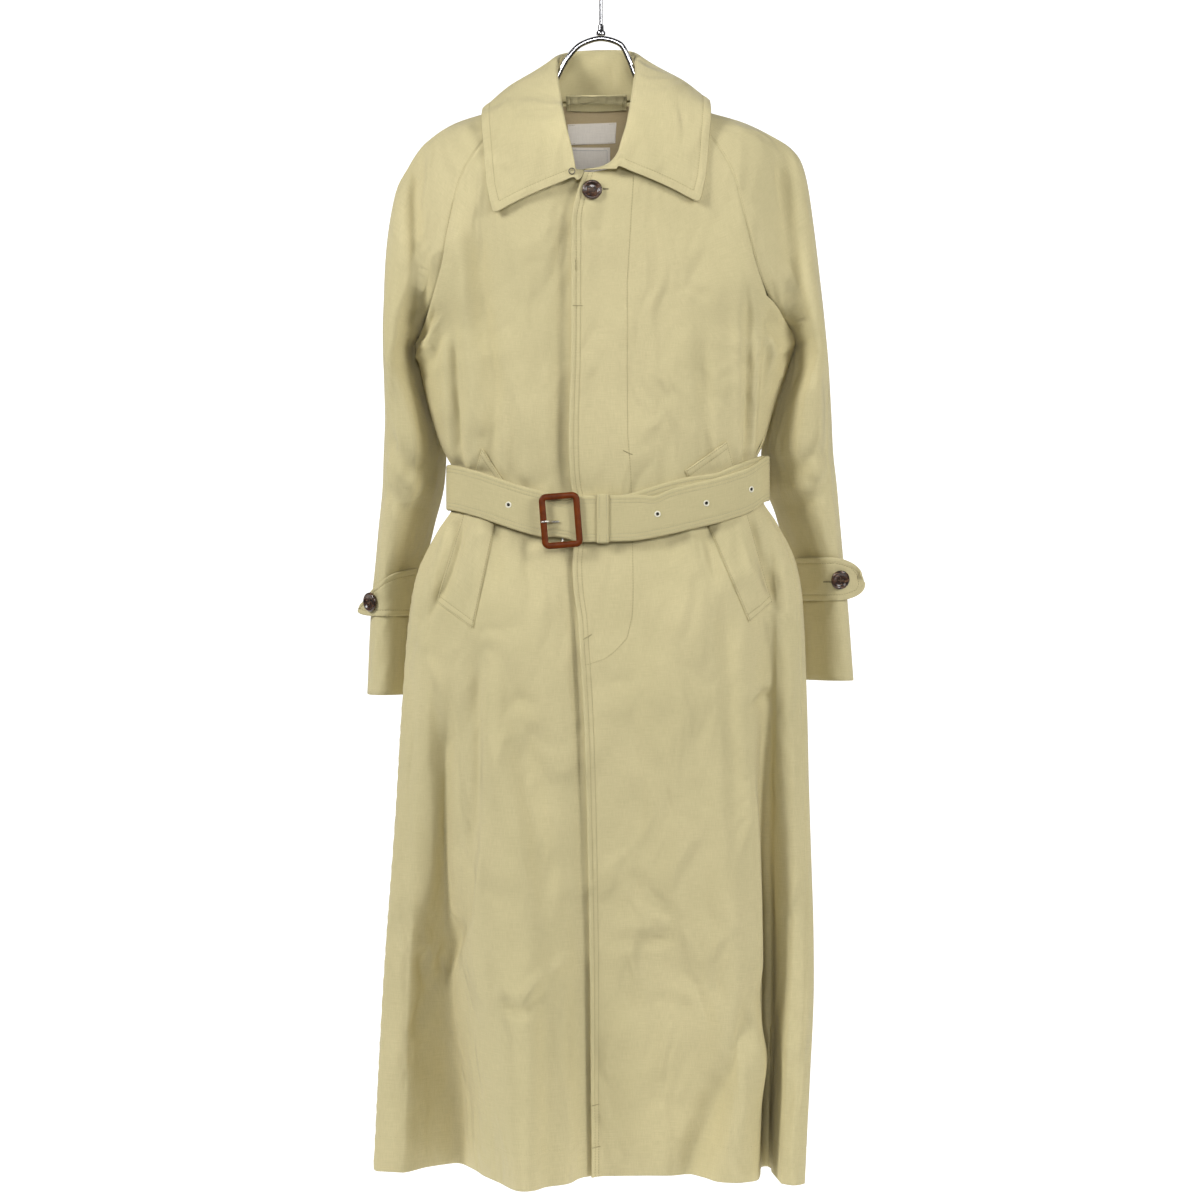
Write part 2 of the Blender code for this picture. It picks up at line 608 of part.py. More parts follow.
def button(name, centre, normal):
    """A button with a raised rim and a dished middle, its back flat."""
    normal = np.asarray(normal, float) / np.linalg.norm(normal)
    side = np.cross(normal, (0.0, 0.0, 1.0))
    side /= np.linalg.norm(side)
    up = np.cross(side, normal)
    radius, thick = BUTTON_DIAMETER / 2, BUTTON_THICK
    profile = ((0, 0), (radius * 0.86, 0), (radius, thick * 0.4), (radius * 0.96, thick * 0.85),
               (radius * 0.82, thick), (radius * 0.62, thick * 0.62), (0, thick * 0.5))
    sides = 20
    centre = np.asarray(centre, float)
    points = [centre + normal * profile[0][1], centre + normal * profile[-1][1]]
    rings = profile[1:-1]
    for step in range(sides):
        turn = 2 * math.pi * step / sides
        out = math.cos(turn) * side + math.sin(turn) * up
        points.extend(centre + out * r + normal * h for r, h in rings)
    faces = []
    count = len(rings)
    for step in range(sides):
        a, b = 2 + step * count, 2 + (step + 1) % sides * count
        faces.append((0, b, a))
        faces.append((1, a + count - 1, b + count - 1))
        for ring in range(count - 1):
            faces.append((a + ring, b + ring, b + ring + 1, a + ring + 1))
    return make_object(name, points, faces, HORN)


# ---------------------------------------------------------------- the coat's pieces
def coat_grids():
    """Middle surfaces of the sewn panels as grids, by name, with their normals."""
    steps = STEPS_PER_LINE
    rings = body_rings(BODY_ROWS, steps)
    ring_normals = grid_normals(rings, closed=True)
    at = np.linspace(0, 1, UPPER_ROWS + 1)
    right_seam, left_seam, total = RIGHT_SEAM * steps, LEFT_SEAM * steps, LINES * steps
    underarm_right, underarm_left = rings[0, right_seam], rings[0, left_seam]
    curves = {
        "right_front": raglan_line(1, at, True, underarm_right),
        "right_back": raglan_line(1, at, False, underarm_right),
        "left_front": raglan_line(-1, at, True, underarm_left),
        "left_back": raglan_line(-1, at, False, underarm_left),
    }
    edge_z = rows_between(at, NECK_FRONT_Z, ARMPIT_Z)
    edge_x = read_table(((0.0, -17), (0.08, -22), (0.3, -30), (1.0, rings[0, 0, 0])), at)[:, 0]
    edge = np.stack([edge_x, shoulder_depth(edge_x, edge_z, True), edge_z], axis=-1)
    edge[:, 1] += (rings[0, 0, 1] - edge[-1, 1]) * at ** 2
    right_columns = list(range(0, right_seam + 1))
    back_columns = list(range(right_seam, left_seam + 1))
    left_columns = [column % total for column in range(total, left_seam - 1, -1)]
    right_top = front_upper(1, at, edge, curves["right_front"], rings[0, right_columns])
    left_top = front_upper(-1, at, edge, curves["left_front"], rings[0, left_columns])
    back_top = back_upper(at, curves["right_back"], curves["left_back"], rings[0, back_columns])
    grids = {
        "front_right": np.concatenate([right_top[:-1], rings[:, right_columns]]),
        "front_left": np.concatenate([left_top[:-1], rings[:, left_columns]]),
        "back": np.concatenate([back_top[:-1], rings[:, back_columns]]),
    }
    normals = {
        "front_right": grid_normals(grids["front_right"]),
        "front_left": grid_normals(grids["front_left"], outward=-1.0),
        "back": grid_normals(grids["back"]),
    }
    panels = (("front_right", right_columns), ("front_left", left_columns), ("back", back_columns))
    for name, columns in panels:
        normals[name][UPPER_ROWS + 1:] = ring_normals[1:, columns]
    lap = grids["front_right"][:, 2::-1] - normals["front_right"][:, 2::-1] * (WALL + LAP_GAP)
    grids["front_left"] = np.concatenate([lap, grids["front_left"][:, 1:]], axis=1)
    lap_normals = normals["front_right"][:, 2::-1]
    normals["front_left"] = np.concatenate([lap_normals, normals["front_left"][:, 1:]], axis=1)
    for side, word, table in ((-1, "left", SLEEVE_LEFT), (1, "right", SLEEVE_RIGHT)):
        for front in (True, False):
            half = "front" if front else "back"
            name = "sleeve_" + word + "_" + half
            curve = curves[word + "_" + half]
            levels = SLEEVE_ROWS[:-1] + (table[-1][0],)
            grids[name] = sleeve_half(side, front, at, curve, table, levels, SLEEVE_STEPS)
            normals[name] = grid_normals(grids[name], outward=1.0 if (side > 0) == front else -1.0)
    return grids, normals, rings, ring_normals


def share_seams(grids, normals):
    """Sets each pair of panels back from the seam they share."""
    upper = slice(0, UPPER_ROWS + 1)
    lower = slice(UPPER_ROWS, None)
    above = slice(0, UPPER_ROWS)
    below = slice(UPPER_ROWS + 1, None)
    before = {name: value.copy() for name, value in normals.items()}
    for word in ("left", "right"):
        front, back = "front_" + word, "back"
        back_edge = 0 if word == "right" else -1
        sleeve_front, sleeve_back = "sleeve_" + word + "_front", "sleeve_" + word + "_back"
        set_back(grids[front], before[front], before[back][lower, back_edge], -1, lower)
        set_back(grids[back], before[back], before[front][lower, -1], back_edge, lower)
        set_back(grids[front], before[front], before[sleeve_front][above, 0], -1, above)
        set_back(grids[sleeve_front], before[sleeve_front], before[front][upper, -1], 0, upper)
        set_back(grids[back], before[back], before[sleeve_back][above, 0], back_edge, above)
        set_back(grids[sleeve_back], before[sleeve_back], before[back][upper, back_edge], 0, upper)
        set_back(grids[sleeve_front], before[sleeve_front], before[sleeve_back][:, -1], -1)
        set_back(grids[sleeve_back], before[sleeve_back], before[sleeve_front][:, -1], -1)
        set_back(grids[sleeve_front], before[sleeve_front], before[sleeve_back][below, 0], 0, below)
        set_back(grids[sleeve_back], before[sleeve_back], before[sleeve_front][below, 0], 0, below)


def neckline(grids):
    """The top edges of the panels in order, from the right front's edge round to the left's."""
    return np.concatenate([
        grids["front_right"][0, :-1],
        grids["sleeve_right_front"][0, :-1],
        grids["sleeve_right_back"][0, ::-1][:-1],
        grids["back"][0, :-1],
        grids["sleeve_left_back"][0, :-1],
        grids["sleeve_left_front"][0, ::-1][:-1],
        grids["front_left"][0, ::-1][:-2],
    ])


def collar_lines(at):
    """Roll line and outer edge of the collar at stations from the right front (-1) to the left (1)."""
    at = np.asarray(at, float)
    table = read_table(COLLAR, 1 - np.abs(at))
    side = np.where(at < 0, 1.0, -1.0)
    near = 1 - smoothstep((1 - np.abs(at)) / COLLAR_FLAT)
    lines = []
    for first, drop in zip((0, 3), COLLAR_LEFT_DROP):
        x = COAT_X + side * table[:, first]
        z = table[:, first + 2] + TILT * (x - COAT_X) - drop * near * (side < 0)
        lines.append(np.stack([x, table[:, first + 1], z], axis=-1))
    return lines


def collar_grid(seam, steps_down=(0.0, 1.0)):
    """Stand from the neckline up to the roll line, then the leaf down to its edge."""
    middle = int(np.argmax(seam[:, 1]))
    length = np.concatenate([[0], np.cumsum(np.linalg.norm(np.diff(seam, axis=0), axis=1))])
    at = np.where(length < length[middle], length / length[middle] - 1,
                  (length - length[middle]) / (length[-1] - length[middle]))
    roll, edge = collar_lines(at)
    fall = edge - roll
    out = fall * (1, 1, 0)
    out /= np.maximum(np.linalg.norm(out, axis=1, keepdims=True), 1e-6)
    rows = [seam + (roll - seam) * share - out * COLLAR_FOLD * share for share in steps_down]
    rows[-1] = roll - out * COLLAR_FOLD + (0, 0, -COLLAR_FOLD)
    rows.append(roll)
    lift = smoothstep((1 - np.abs(at)) / COLLAR_FLAT)[:, None] * (0, 0, 1)
    for share in COLLAR_LEAF_STEPS:
        bulge = COLLAR_BULGE * math.sin(math.pi * share)
        swell = out * (COLLAR_FOLD * (1 - share) + bulge) + lift * bulge
        rows.append(roll + swell + fall * share - (0, 0, 1))
    return np.stack(rows)


def on_surface(tree, x, z, from_y=-300.0):
    """Where a line going straight back at (x, z) meets a surface."""
    hit = tree.ray_cast(Vector((x, from_y, z)), Vector((0.0, 1.0, 0.0)))
    return np.array(hit[0] if hit[0] is not None else (x, 0.0, z))


def surface_tree(grids, normals, names):
    """The outer faces of some panels, to lay pieces on."""
    points, faces = [], []
    for name in names:
        outer = grids[name] + normals[name] * WALL / 2
        rows, columns = outer.shape[:2]
        base = len(points)
        points.extend(outer.reshape(-1, 3).tolist())
        for row in range(rows - 1):
            for column in range(columns - 1):
                a = base + row * columns + column
                faces.append((a, a + 1, a + columns + 1, a + columns))
    return BVHTree.FromPolygons(points, faces)


def patch(name, tree, corners, steps, thick, lift, look):
    """A flat piece laid on a surface between four corners, given as (x, z)."""
    top_out, top_in, low_in, low_out = (np.array(corner, float) for corner in corners)
    rows = []
    for down in np.linspace(0, 1, steps[0] + 1):
        start, end = top_out + (low_out - top_out) * down, top_in + (low_in - top_in) * down
        stations = np.linspace(0, 1, steps[1] + 1)
        rows.append([on_surface(tree, *(start + (end - start) * across)) for across in stations])
    grid = np.array(rows) - (0, lift, 0)
    face = grid_normals(grid)
    return wall(name, grid, face * np.where(face[..., 1:2] > 0, -1, 1), thick, look)


def belt_path(rings, ring_normals):
    """The belt's middle surface: once round the waist, with its front end lying over the start."""
    rows = [BODY_ROWS.index(round(level)) for level in (BELT_TOP_Z, BELT_Z, BELT_BOTTOM_Z)]
    around = rings[rows].copy()
    flat = ring_normals[rows[1]] * (1, 1, 0)
    flat = np.broadcast_to(flat / np.linalg.norm(flat, axis=-1, keepdims=True), around.shape)
    widest = (around * flat).sum(axis=-1).argmax(axis=0)
    around[..., :2] = around[widest, np.arange(around.shape[1]), :2]
    total = around.shape[1]
    columns = np.arange(BELT_TIP_COLUMN, BELT_END_COLUMN - total - 1, -1)
    turned = (BELT_TIP_COLUMN - columns) / (BELT_TIP_COLUMN + 8.0)
    lift = BELT_STAND_OFF + BELT_LAYER_STEP * (1 - smoothstep(turned - 0.9))
    index = columns % total
    return around[:, index] + flat[:, index] * lift[None, :, None], flat[:, index]


def frame_ring(name, centre, size, bar, thick, lean_deg, look, corner=6.0):
    """A flat rectangular ring with round corners, facing the viewer."""
    def outline(width, height, radius):
        points = []
        for sx, sz, start in ((1, 1, 0), (-1, 1, 90), (-1, -1, 180), (1, -1, 270)):
            for turn in (0, 30, 60, 90):
                angle = math.radians(start + turn)
                points.append((sx * (width / 2 - radius) + radius * math.cos(angle),
                               sz * (height / 2 - radius) + radius * math.sin(angle)))
        return points

    layers = (
        (outline(size[0], size[1], corner), thick * 0.3),
        (outline(size[0] - 1.6, size[1] - 1.6, corner - 0.8), -thick / 2),
        (outline(size[0] - 2 * bar + 1.6, size[1] - 2 * bar + 1.6, 3.4), -thick / 2),
        (outline(size[0] - 2 * bar, size[1] - 2 * bar, 2.6), thick * 0.3),
        (outline(size[0] - 2 * bar + 1.6, size[1] - 2 * bar + 1.6, 3.4), thick / 2),
        (outline(size[0] - 1.6, size[1] - 1.6, corner - 0.8), thick / 2),
    )
    lean = math.radians(lean_deg)
    points, faces = [], []
    count = len(layers[0][0])
    for corners, depth in layers:
        for x, z in corners:
            points.append((centre[0] + x * math.cos(lean) - z * math.sin(lean), centre[1] + depth,
                           centre[2] + z * math.cos(lean) + x * math.sin(lean)))
    for layer in range(len(layers)):
        after = (layer + 1) % len(layers)
        for step in range(count):
            ahead = (step + 1) % count
            faces.append([ring * count + turn for ring, turn in
                          ((layer, step), (layer, ahead), (after, ahead), (after, step))])
    return make_object(name, points, faces, look)


def loop_band(name, outline, width_axis, width, thick, look):
    """A closed band: an outline of corners in a plane, its wall growing inward, swept by its width."""
    outline = np.asarray(outline, float)
    middle = outline.mean(axis=0)
    away = outline - middle
    inner = outline - np.sign(away) * thick * (1 - np.abs(np.asarray(width_axis, float)))
    half = np.asarray(width_axis, float) * width / 2
    layers = (outline - half, outline + half, inner + half, inner - half)
    points = np.concatenate(layers)
    count = len(outline)
    faces = []
    for layer in range(4):
        after = (layer + 1) % 4
        for step in range(count):
            ahead = (step + 1) % count
            faces.append([ring * count + turn for ring, turn in
                          ((layer, step), (layer, ahead), (after, ahead), (after, step))])
    return make_object(name, points, faces, look)


def belt_pieces(rings, ring_normals):
    """Belt, keeper, buckle frame with its bar and prong, and eyelets."""
    path, out = belt_path(rings, ring_normals)
    wall("belt", path, out, BELT_WALL, CLOTH)
    front = BELT_TIP_COLUMN + 9
    middle = path[1, :front]

    def belt_front(x):
        order = np.argsort(middle[:, 0])
        y = np.interp(x, middle[order, 0], middle[order, 1])
        z = np.interp(x, middle[order, 0], middle[order, 2])
        slope = (np.interp(x + 4, middle[order, 0], middle[order, 1]) - y) / 4
        return y, z, slope

    reach = BUCKLE_SIZE[0] / 2 + 2
    belt_y = min(belt_front(BUCKLE_AT[0] + across)[0] for across in (-reach, 0, reach))
    buckle_y = belt_y - BELT_WALL / 2 - BUCKLE_THICK / 2 - 0.8
    centre = (BUCKLE_AT[0], buckle_y, BUCKLE_AT[1])
    frame_ring("buckle_frame", centre, BUCKLE_SIZE, BUCKLE_BAR, BUCKLE_THICK, BUCKLE_LEAN_DEG, LEATHER)
    bar_y = belt_front(BUCKLE_AT[0])[0] + BELT_WALL / 2 + 1.6
    top, low = path[0, :front, 2], path[-1, :front, 2]
    high, deep = (np.interp(BUCKLE_AT[0], middle[::-1, 0], edge[::-1]) - BUCKLE_AT[1] for edge in (top, low))
    high, deep = high + 1.6, deep - 1.6
    front_y = buckle_y + BUCKLE_THICK / 2 + 1.3
    lean = math.sin(math.radians(BUCKLE_LEAN_DEG))
    route = []
    for y, z in ((front_y, high), (bar_y - 0.6, high + 0.2), (bar_y, high - 1.4), (bar_y, deep + 1.4),
                 (bar_y - 0.6, deep - 0.2), (front_y, deep)):
        route.append((BUCKLE_AT[0] - z * lean, y, BUCKLE_AT[1] + z))
    points, faces = tube_along(route, 1.0, 6)
    make_object("buckle_bar", points, faces, BRASS)
    prong_x = BUCKLE_AT[0] - BUCKLE_SIZE[0] / 2
    belt_y = belt_front(BUCKLE_AT[0] - 4)[0] - BELT_WALL / 2
    route = ((BUCKLE_AT[0] - 3, belt_y - 1.6, BUCKLE_AT[1] - 1),
             (BUCKLE_AT[0] - 9, belt_y - 2.4, BUCKLE_AT[1] - 1),
             (prong_x + BUCKLE_BAR, buckle_y - BUCKLE_THICK / 2 - 1.2, BUCKLE_AT[1] - 1),
             (prong_x + 1.5, buckle_y - BUCKLE_THICK / 2 - 1.5, BUCKLE_AT[1] - 1.5))
    points, faces = tube_along(smooth_route(route, 8), 1.1, 8)
    make_object("buckle_prong", points, faces, BRASS)
    y, z, _ = belt_front(KEEPER_AT_X)
    ahead, behind = y - BELT_WALL / 2 - 1.8, y + BELT_LAYER_STEP + BELT_WALL / 2 + 1.5
    top, low = BELT_TOP_Z - BELT_Z + 2.2, BELT_BOTTOM_Z - BELT_Z - 2.2
    corners = [(KEEPER_AT_X, side_y, z + side_z) for side_y, side_z in
               ((ahead, low), (ahead, 0), (ahead, top), (behind, top), (behind, 0), (behind, low))]
    loop_band("belt_keeper", corners, (1, 0, 0), KEEPER_WIDTH, 1.2, CLOTH)
    for number, x in enumerate(EYELET_XS):
        y, z, slope = belt_front(x)
        normal = np.array((slope, -1.0, 0.0)) / math.hypot(slope, 1.0)
        side = np.array((-normal[1], normal[0], 0.0))
        centre = np.array((x, y, z)) + normal * (BELT_WALL / 2 + 0.7)
        inside, outside = EYELET_RADIUS - EYELET_WIRE, EYELET_RADIUS + EYELET_WIRE
        profile = ((inside, 0), (outside, 0), (outside - EYELET_WIRE * 0.4, EYELET_WIRE),
                   (inside + EYELET_WIRE * 0.4, EYELET_WIRE))
        ring_solid("eyelet_%d" % (number + 1), centre, (side, (0, 0, 1), normal), profile, 14, BRASS)


def strap(name, grid, normals, table, tip):
    """A cuff strap laid on the front half of a sleeve; its tip reaches straight on past the turn."""
    across = np.array(table, float)
    columns = np.linspace(across[0, 0], across[-1, 0], STRAP_STEPS[1] + 1)
    down = np.linspace(0, 1, STRAP_STEPS[0] + 1)
    tops = np.interp(columns, across[:, 0], across[:, 1])
    lows = np.interp(columns, across[:, 0], across[:, 2])
    levels = -grid[UPPER_ROWS:, 0, 2]
    along = np.linspace(0, 1, grid.shape[1])
    laid = np.empty((len(down), len(columns), 6))
    both = np.concatenate([grid, normals], axis=-1)[UPPER_ROWS:]
    for j, column in enumerate(columns):
        heights = -(tops[j] + (lows[j] - tops[j]) * down)
        for axis in range(6):
            by_row = [np.interp(column, along, row[:, axis]) for row in both]
            laid[:, j, axis] = np.interp(heights, levels, by_row)
    outs = laid[..., 3:] / np.linalg.norm(laid[..., 3:], axis=-1, keepdims=True)
    laid = laid[..., :3] + outs * STRAP_LIFT
    tip_x, tip_y, tip_top, tip_low = tip
    round_end = 1 - 0.28 * np.abs(2 * down - 1)[:, None] ** 2.5
    end = laid[:, -1] + round_end * (tip_x, tip_y, 0)
    end[:, 2] = tip_top + (tip_low - tip_top) * down
    middle = (laid[:, -1] + end) / 2
    full = np.concatenate([laid, middle[:, None], end[:, None]], axis=1)
    full_out = np.concatenate([outs, outs[:, -1:], outs[:, -1:]], axis=1)
    wall(name, full, full_out, STRAP_WALL, CLOTH)
    return full, full_out


def rest_on(outer, outs, place):
    """Where a button's flat back rests on a curved strap, and the way it faces."""
    normal = outs[place]
    away = (outer - outer[place]).reshape(-1, 3)
    near = np.linalg.norm(away, axis=1) < BUTTON_DIAMETER * 0.8
    return outer[place] + normal * ((away[near] @ normal).max() + 0.3), normal


def hanger():
    """The chrome hanger: a bow that carries the shoulders, and the hook above it."""
    points, faces = tube_along(smooth_route(HANGER_BOW, 38), TUBE_RADIUS, 8)
    make_object("hanger_bow", points, faces, CHROME)
    foot = HANGER_APEX_Z + TUBE_RADIUS + SWIVEL_PROFILE[-1][1] + 0.7
    hook = [(1.0, 2.0, foot), (1.0, 1.5, -80.0), (1.0, 0.5, -62.0), (4.0, 0.0, -50.0)]
    rise = HOOK_RADIUS + HOOK_WIRE
    for turn in range(-50, 215, 15):
        angle = math.radians(turn)
        hook.append((rise * math.cos(angle), 0.0, -HOOK_RADIUS + rise * math.sin(angle)))
    points, faces = tube_along(smooth_route(hook, 42), HOOK_WIRE, 8)
    make_object("hanger_hook", points, faces, CHROME)


def swivel():
    """The small collar that the hook's stem turns in, above the bow."""
    profile = SWIVEL_PROFILE
    centre = np.array((1.0, 2.0, HANGER_APEX_Z + TUBE_RADIUS + 0.4))
    sides = 12
    points = [centre + (0, 0, profile[0][1]), centre + (0, 0, profile[-1][1])]
    rings = profile[1:-1]
    for step in range(sides):
        turn = 2 * math.pi * step / sides
        points.extend(centre + (r * math.cos(turn), r * math.sin(turn), h) for r, h in rings)
    count = len(rings)
    faces = []
    for step in range(sides):
        a, b = 2 + step * count, 2 + (step + 1) % sides * count
        faces.append((0, b, a))
        faces.append((1, a + count - 1, b + count - 1))
        for ring in range(count - 1):
            faces.append((a + ring, b + ring, b + ring + 1, a + ring + 1))
    make_object("hanger_swivel", points, faces, CHROME)


def hook_and_eye():
    """The small wire hook and eye between the collar's ends."""
    profile = ((EYE_RADIUS - EYE_WIRE, -EYE_WIRE), (EYE_RADIUS + EYE_WIRE, -EYE_WIRE),
               (EYE_RADIUS + EYE_WIRE, EYE_WIRE), (EYE_RADIUS - EYE_WIRE, EYE_WIRE))
    ring_solid("neck_hook_eye", EYE_AT, ((1, 0, 0), (0, 0, 1), (0, -1, 0)), profile, 12, BRASS)


def neck_inside(grids, normals):
    """What shows inside the neck: lining, two blank labels and the hanging loop."""
    columns = slice(6, -6)
    rows = slice(0, 6)
    grid = grids["back"][rows, columns] - normals["back"][rows, columns] * (WALL + LAP_GAP)
    grid[0] += (grid[1] - grid[0]) * 0.12
    wall("lining_back", grid, normals["back"][rows, columns], WALL, LINING)
    inner = {"back": grids["back"][:, columns]}
    out = {"back": -normals["back"][:, columns]}
    tree = surface_tree({"back": inner["back"] + out["back"] * (WALL + LAP_GAP)}, out, ("back",))
    patch("label_upper", tree, LABEL_UPPER, (2, 6), LABEL_WALL, LABEL_LIFT, LABEL)
    patch("label_lower", tree, LABEL_LOWER, (4, 6), LABEL_WALL, LABEL_LIFT, LABEL)
    patch("hanging_loop", tree, HANGING_LOOP, (1, 8), LOOP_WALL, LOOP_LIFT, CLOTH)


def main():
    for thing in list(bpy.data.objects):
        bpy.data.objects.remove(thing, do_unlink=True)
    grids, normals, rings, ring_normals = coat_grids()
    seam = neckline(grids)
    share_seams(grids, normals)
    for name in grids:
        wall(name, grids[name], normals[name], WALL, CLOTH)
    seam = seam + (0, 0, COLLAR_SEAM_GAP)
    collar = collar_grid(seam)
    wall("collar", collar, grid_normals(collar), WALL, CLOTH)
    tree = surface_tree(grids, normals, ("front_left", "front_right"))
    patch("pocket_welt_left", tree, WELT_LEFT, WELT_STEPS, PATCH_WALL, PATCH_LIFT, CLOTH)
    patch("pocket_welt_right", tree, WELT_RIGHT, WELT_STEPS, PATCH_WALL, PATCH_LIFT, CLOTH)
    belt_pieces(rings, ring_normals)
    for word in ("left", "right"):
        name = "sleeve_" + word + "_front"
        points, outs = strap("cuff_strap_" + word, grids[name], normals[name], STRAPS[word], STRAP_TIPS[word])
        button("button_cuff_" + word, *rest_on(points + outs * STRAP_WALL / 2, outs, (2, -2)))
    neck = on_surface(tree, *NECK_BUTTON_AT)
    button("button_neck", neck - (0, 1.2, 0), (0.0, -1.0, 0.12))
    hook_and_eye()
    neck_inside(grids, normals)
    hanger()
    swivel()


main()
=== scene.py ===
"""Looks of the belted balmacaan coat on its hanger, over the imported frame.

The geometry tables and curves repeat part.py's, so every shell lies where its solid is. Sizes and places in
the tables are millimetres: +X is the viewer's right, the front faces -Y, +Z is up, the origin is where the
hanger's hook bears on its rail. The meshes themselves are in metres.
"""

import math

import bmesh
import bpy
import numpy as np
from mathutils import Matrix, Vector
from mathutils.bvhtree import BVHTree


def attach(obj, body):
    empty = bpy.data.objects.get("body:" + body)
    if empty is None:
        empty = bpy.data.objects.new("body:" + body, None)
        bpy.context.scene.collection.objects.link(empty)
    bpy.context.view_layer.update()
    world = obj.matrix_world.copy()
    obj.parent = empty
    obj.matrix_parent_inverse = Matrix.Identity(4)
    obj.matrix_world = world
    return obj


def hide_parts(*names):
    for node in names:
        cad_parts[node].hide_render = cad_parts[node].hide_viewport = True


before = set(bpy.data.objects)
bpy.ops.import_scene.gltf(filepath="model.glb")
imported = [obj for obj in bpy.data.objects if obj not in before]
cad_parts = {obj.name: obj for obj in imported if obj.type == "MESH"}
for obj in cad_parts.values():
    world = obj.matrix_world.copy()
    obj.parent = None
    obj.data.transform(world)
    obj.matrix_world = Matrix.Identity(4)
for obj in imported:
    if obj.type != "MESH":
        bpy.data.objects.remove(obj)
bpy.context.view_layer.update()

MM = 0.001
FORWARD = np.array((0.0, -1.0, 0.0))
BACKWARD = -FORWARD
UPWARD = np.array((0.0, 0.0, 1.0))

# ---------------------------------------------------------------- driving sizes, in millimetres
WALL = 1.4  # the cloth with its facing or lining
LAP_GAP = 0.5  # between a layer and the one that lies on it
COAT_X = -4.0  # the coat's middle line hangs a little left of the hook
TILT = 0.034  # the right shoulder hangs higher than the left
ARMPIT_Z = -459.0
NECK_FRONT_Z = -281.0  # the fronts' upper corner, under the collar
BELT_TOP_Z = -587.0
BELT_Z = -611.0
BELT_BOTTOM_Z = -635.0
HIP_Z = -739.0
MID_Z = -960.0
HEM_Z = -1367.0
SIDE_Y = -8.0  # where the body is widest
BELT_SAG = 42.0  # the belt and the waist hang lower in front
BELT_RISE = 5.0  # and higher at the viewer's right than at the left
SAG_END_Z = -900.0
SQUARE = 2.3  # roundness of the body's sections, 2 is an ellipse
NECK_DROP_POWER = 2.2
BELT_WALL = 2.4
BELT_STAND_OFF = 5.2  # from the middle of the cloth to the middle of the belt's inner layer
BELT_LAYER_STEP = BELT_WALL + 0.6
STRAP_WALL = 1.8
STRAP_LIFT = 2.6

# ---------------------------------------------------------------- steps of the fine shells
UPPER_ROWS = 44  # from the neck to the armpit
BODY_ROWS = tuple(np.linspace(ARMPIT_Z, HEM_Z, 131))
SLEEVE_ROWS = 56  # from the armpit to the cuff
STEPS_PER_LINE = 8  # columns between two lines of the body
SLEEVE_STEPS = 28  # columns of one sleeve half

# Body sections. left, right, front and back are the furthest reaches.
BODY_SECTIONS = (
    # z, left, right, front, back
    (-459, -203, 213, -90, 84),
    (-536, -184, 189, -88, 80),
    (-574, -169, 178, -82, 74),
    (-590, -158, 171, -79, 71),
    (-611, -158, 173, -78, 70),
    (-632, -160, 176, -78, 70),
    (-659, -177, 193, -80, 74),
    (-706, -200, 216, -84, 88),
    (-739, -207, 223, -86, 98),
    (-849, -217, 228, -90, 106),
    (-960, -224, 230, -92, 110),
    (-1180, -240, 239, -94, 116),
    (-1367, -250, 240, -96, 120),
)

# The outline of shoulders and upper sleeves together, and their depth in front and behind.
SHOULDER_SECTIONS = (
    # z, left, right, front, back
    (-180, -60, 50, -20, 48),
    (-186, -80, 72, -30, 50),
    (-200, -108, 104, -44, 54),
    (-216, -158, 158, -57, 58),
    (-229, -185, 186, -66, 61),
    (-243, -206, 209, -74, 64),
    (-258, -218, 220, -80, 68),
    (-288, -229, 228, -86, 74),
    (-320, -233, 233, -88, 78),
    (-380, -236, 241, -90, 82),
    (-470, -238, 251, -90, 84),
)

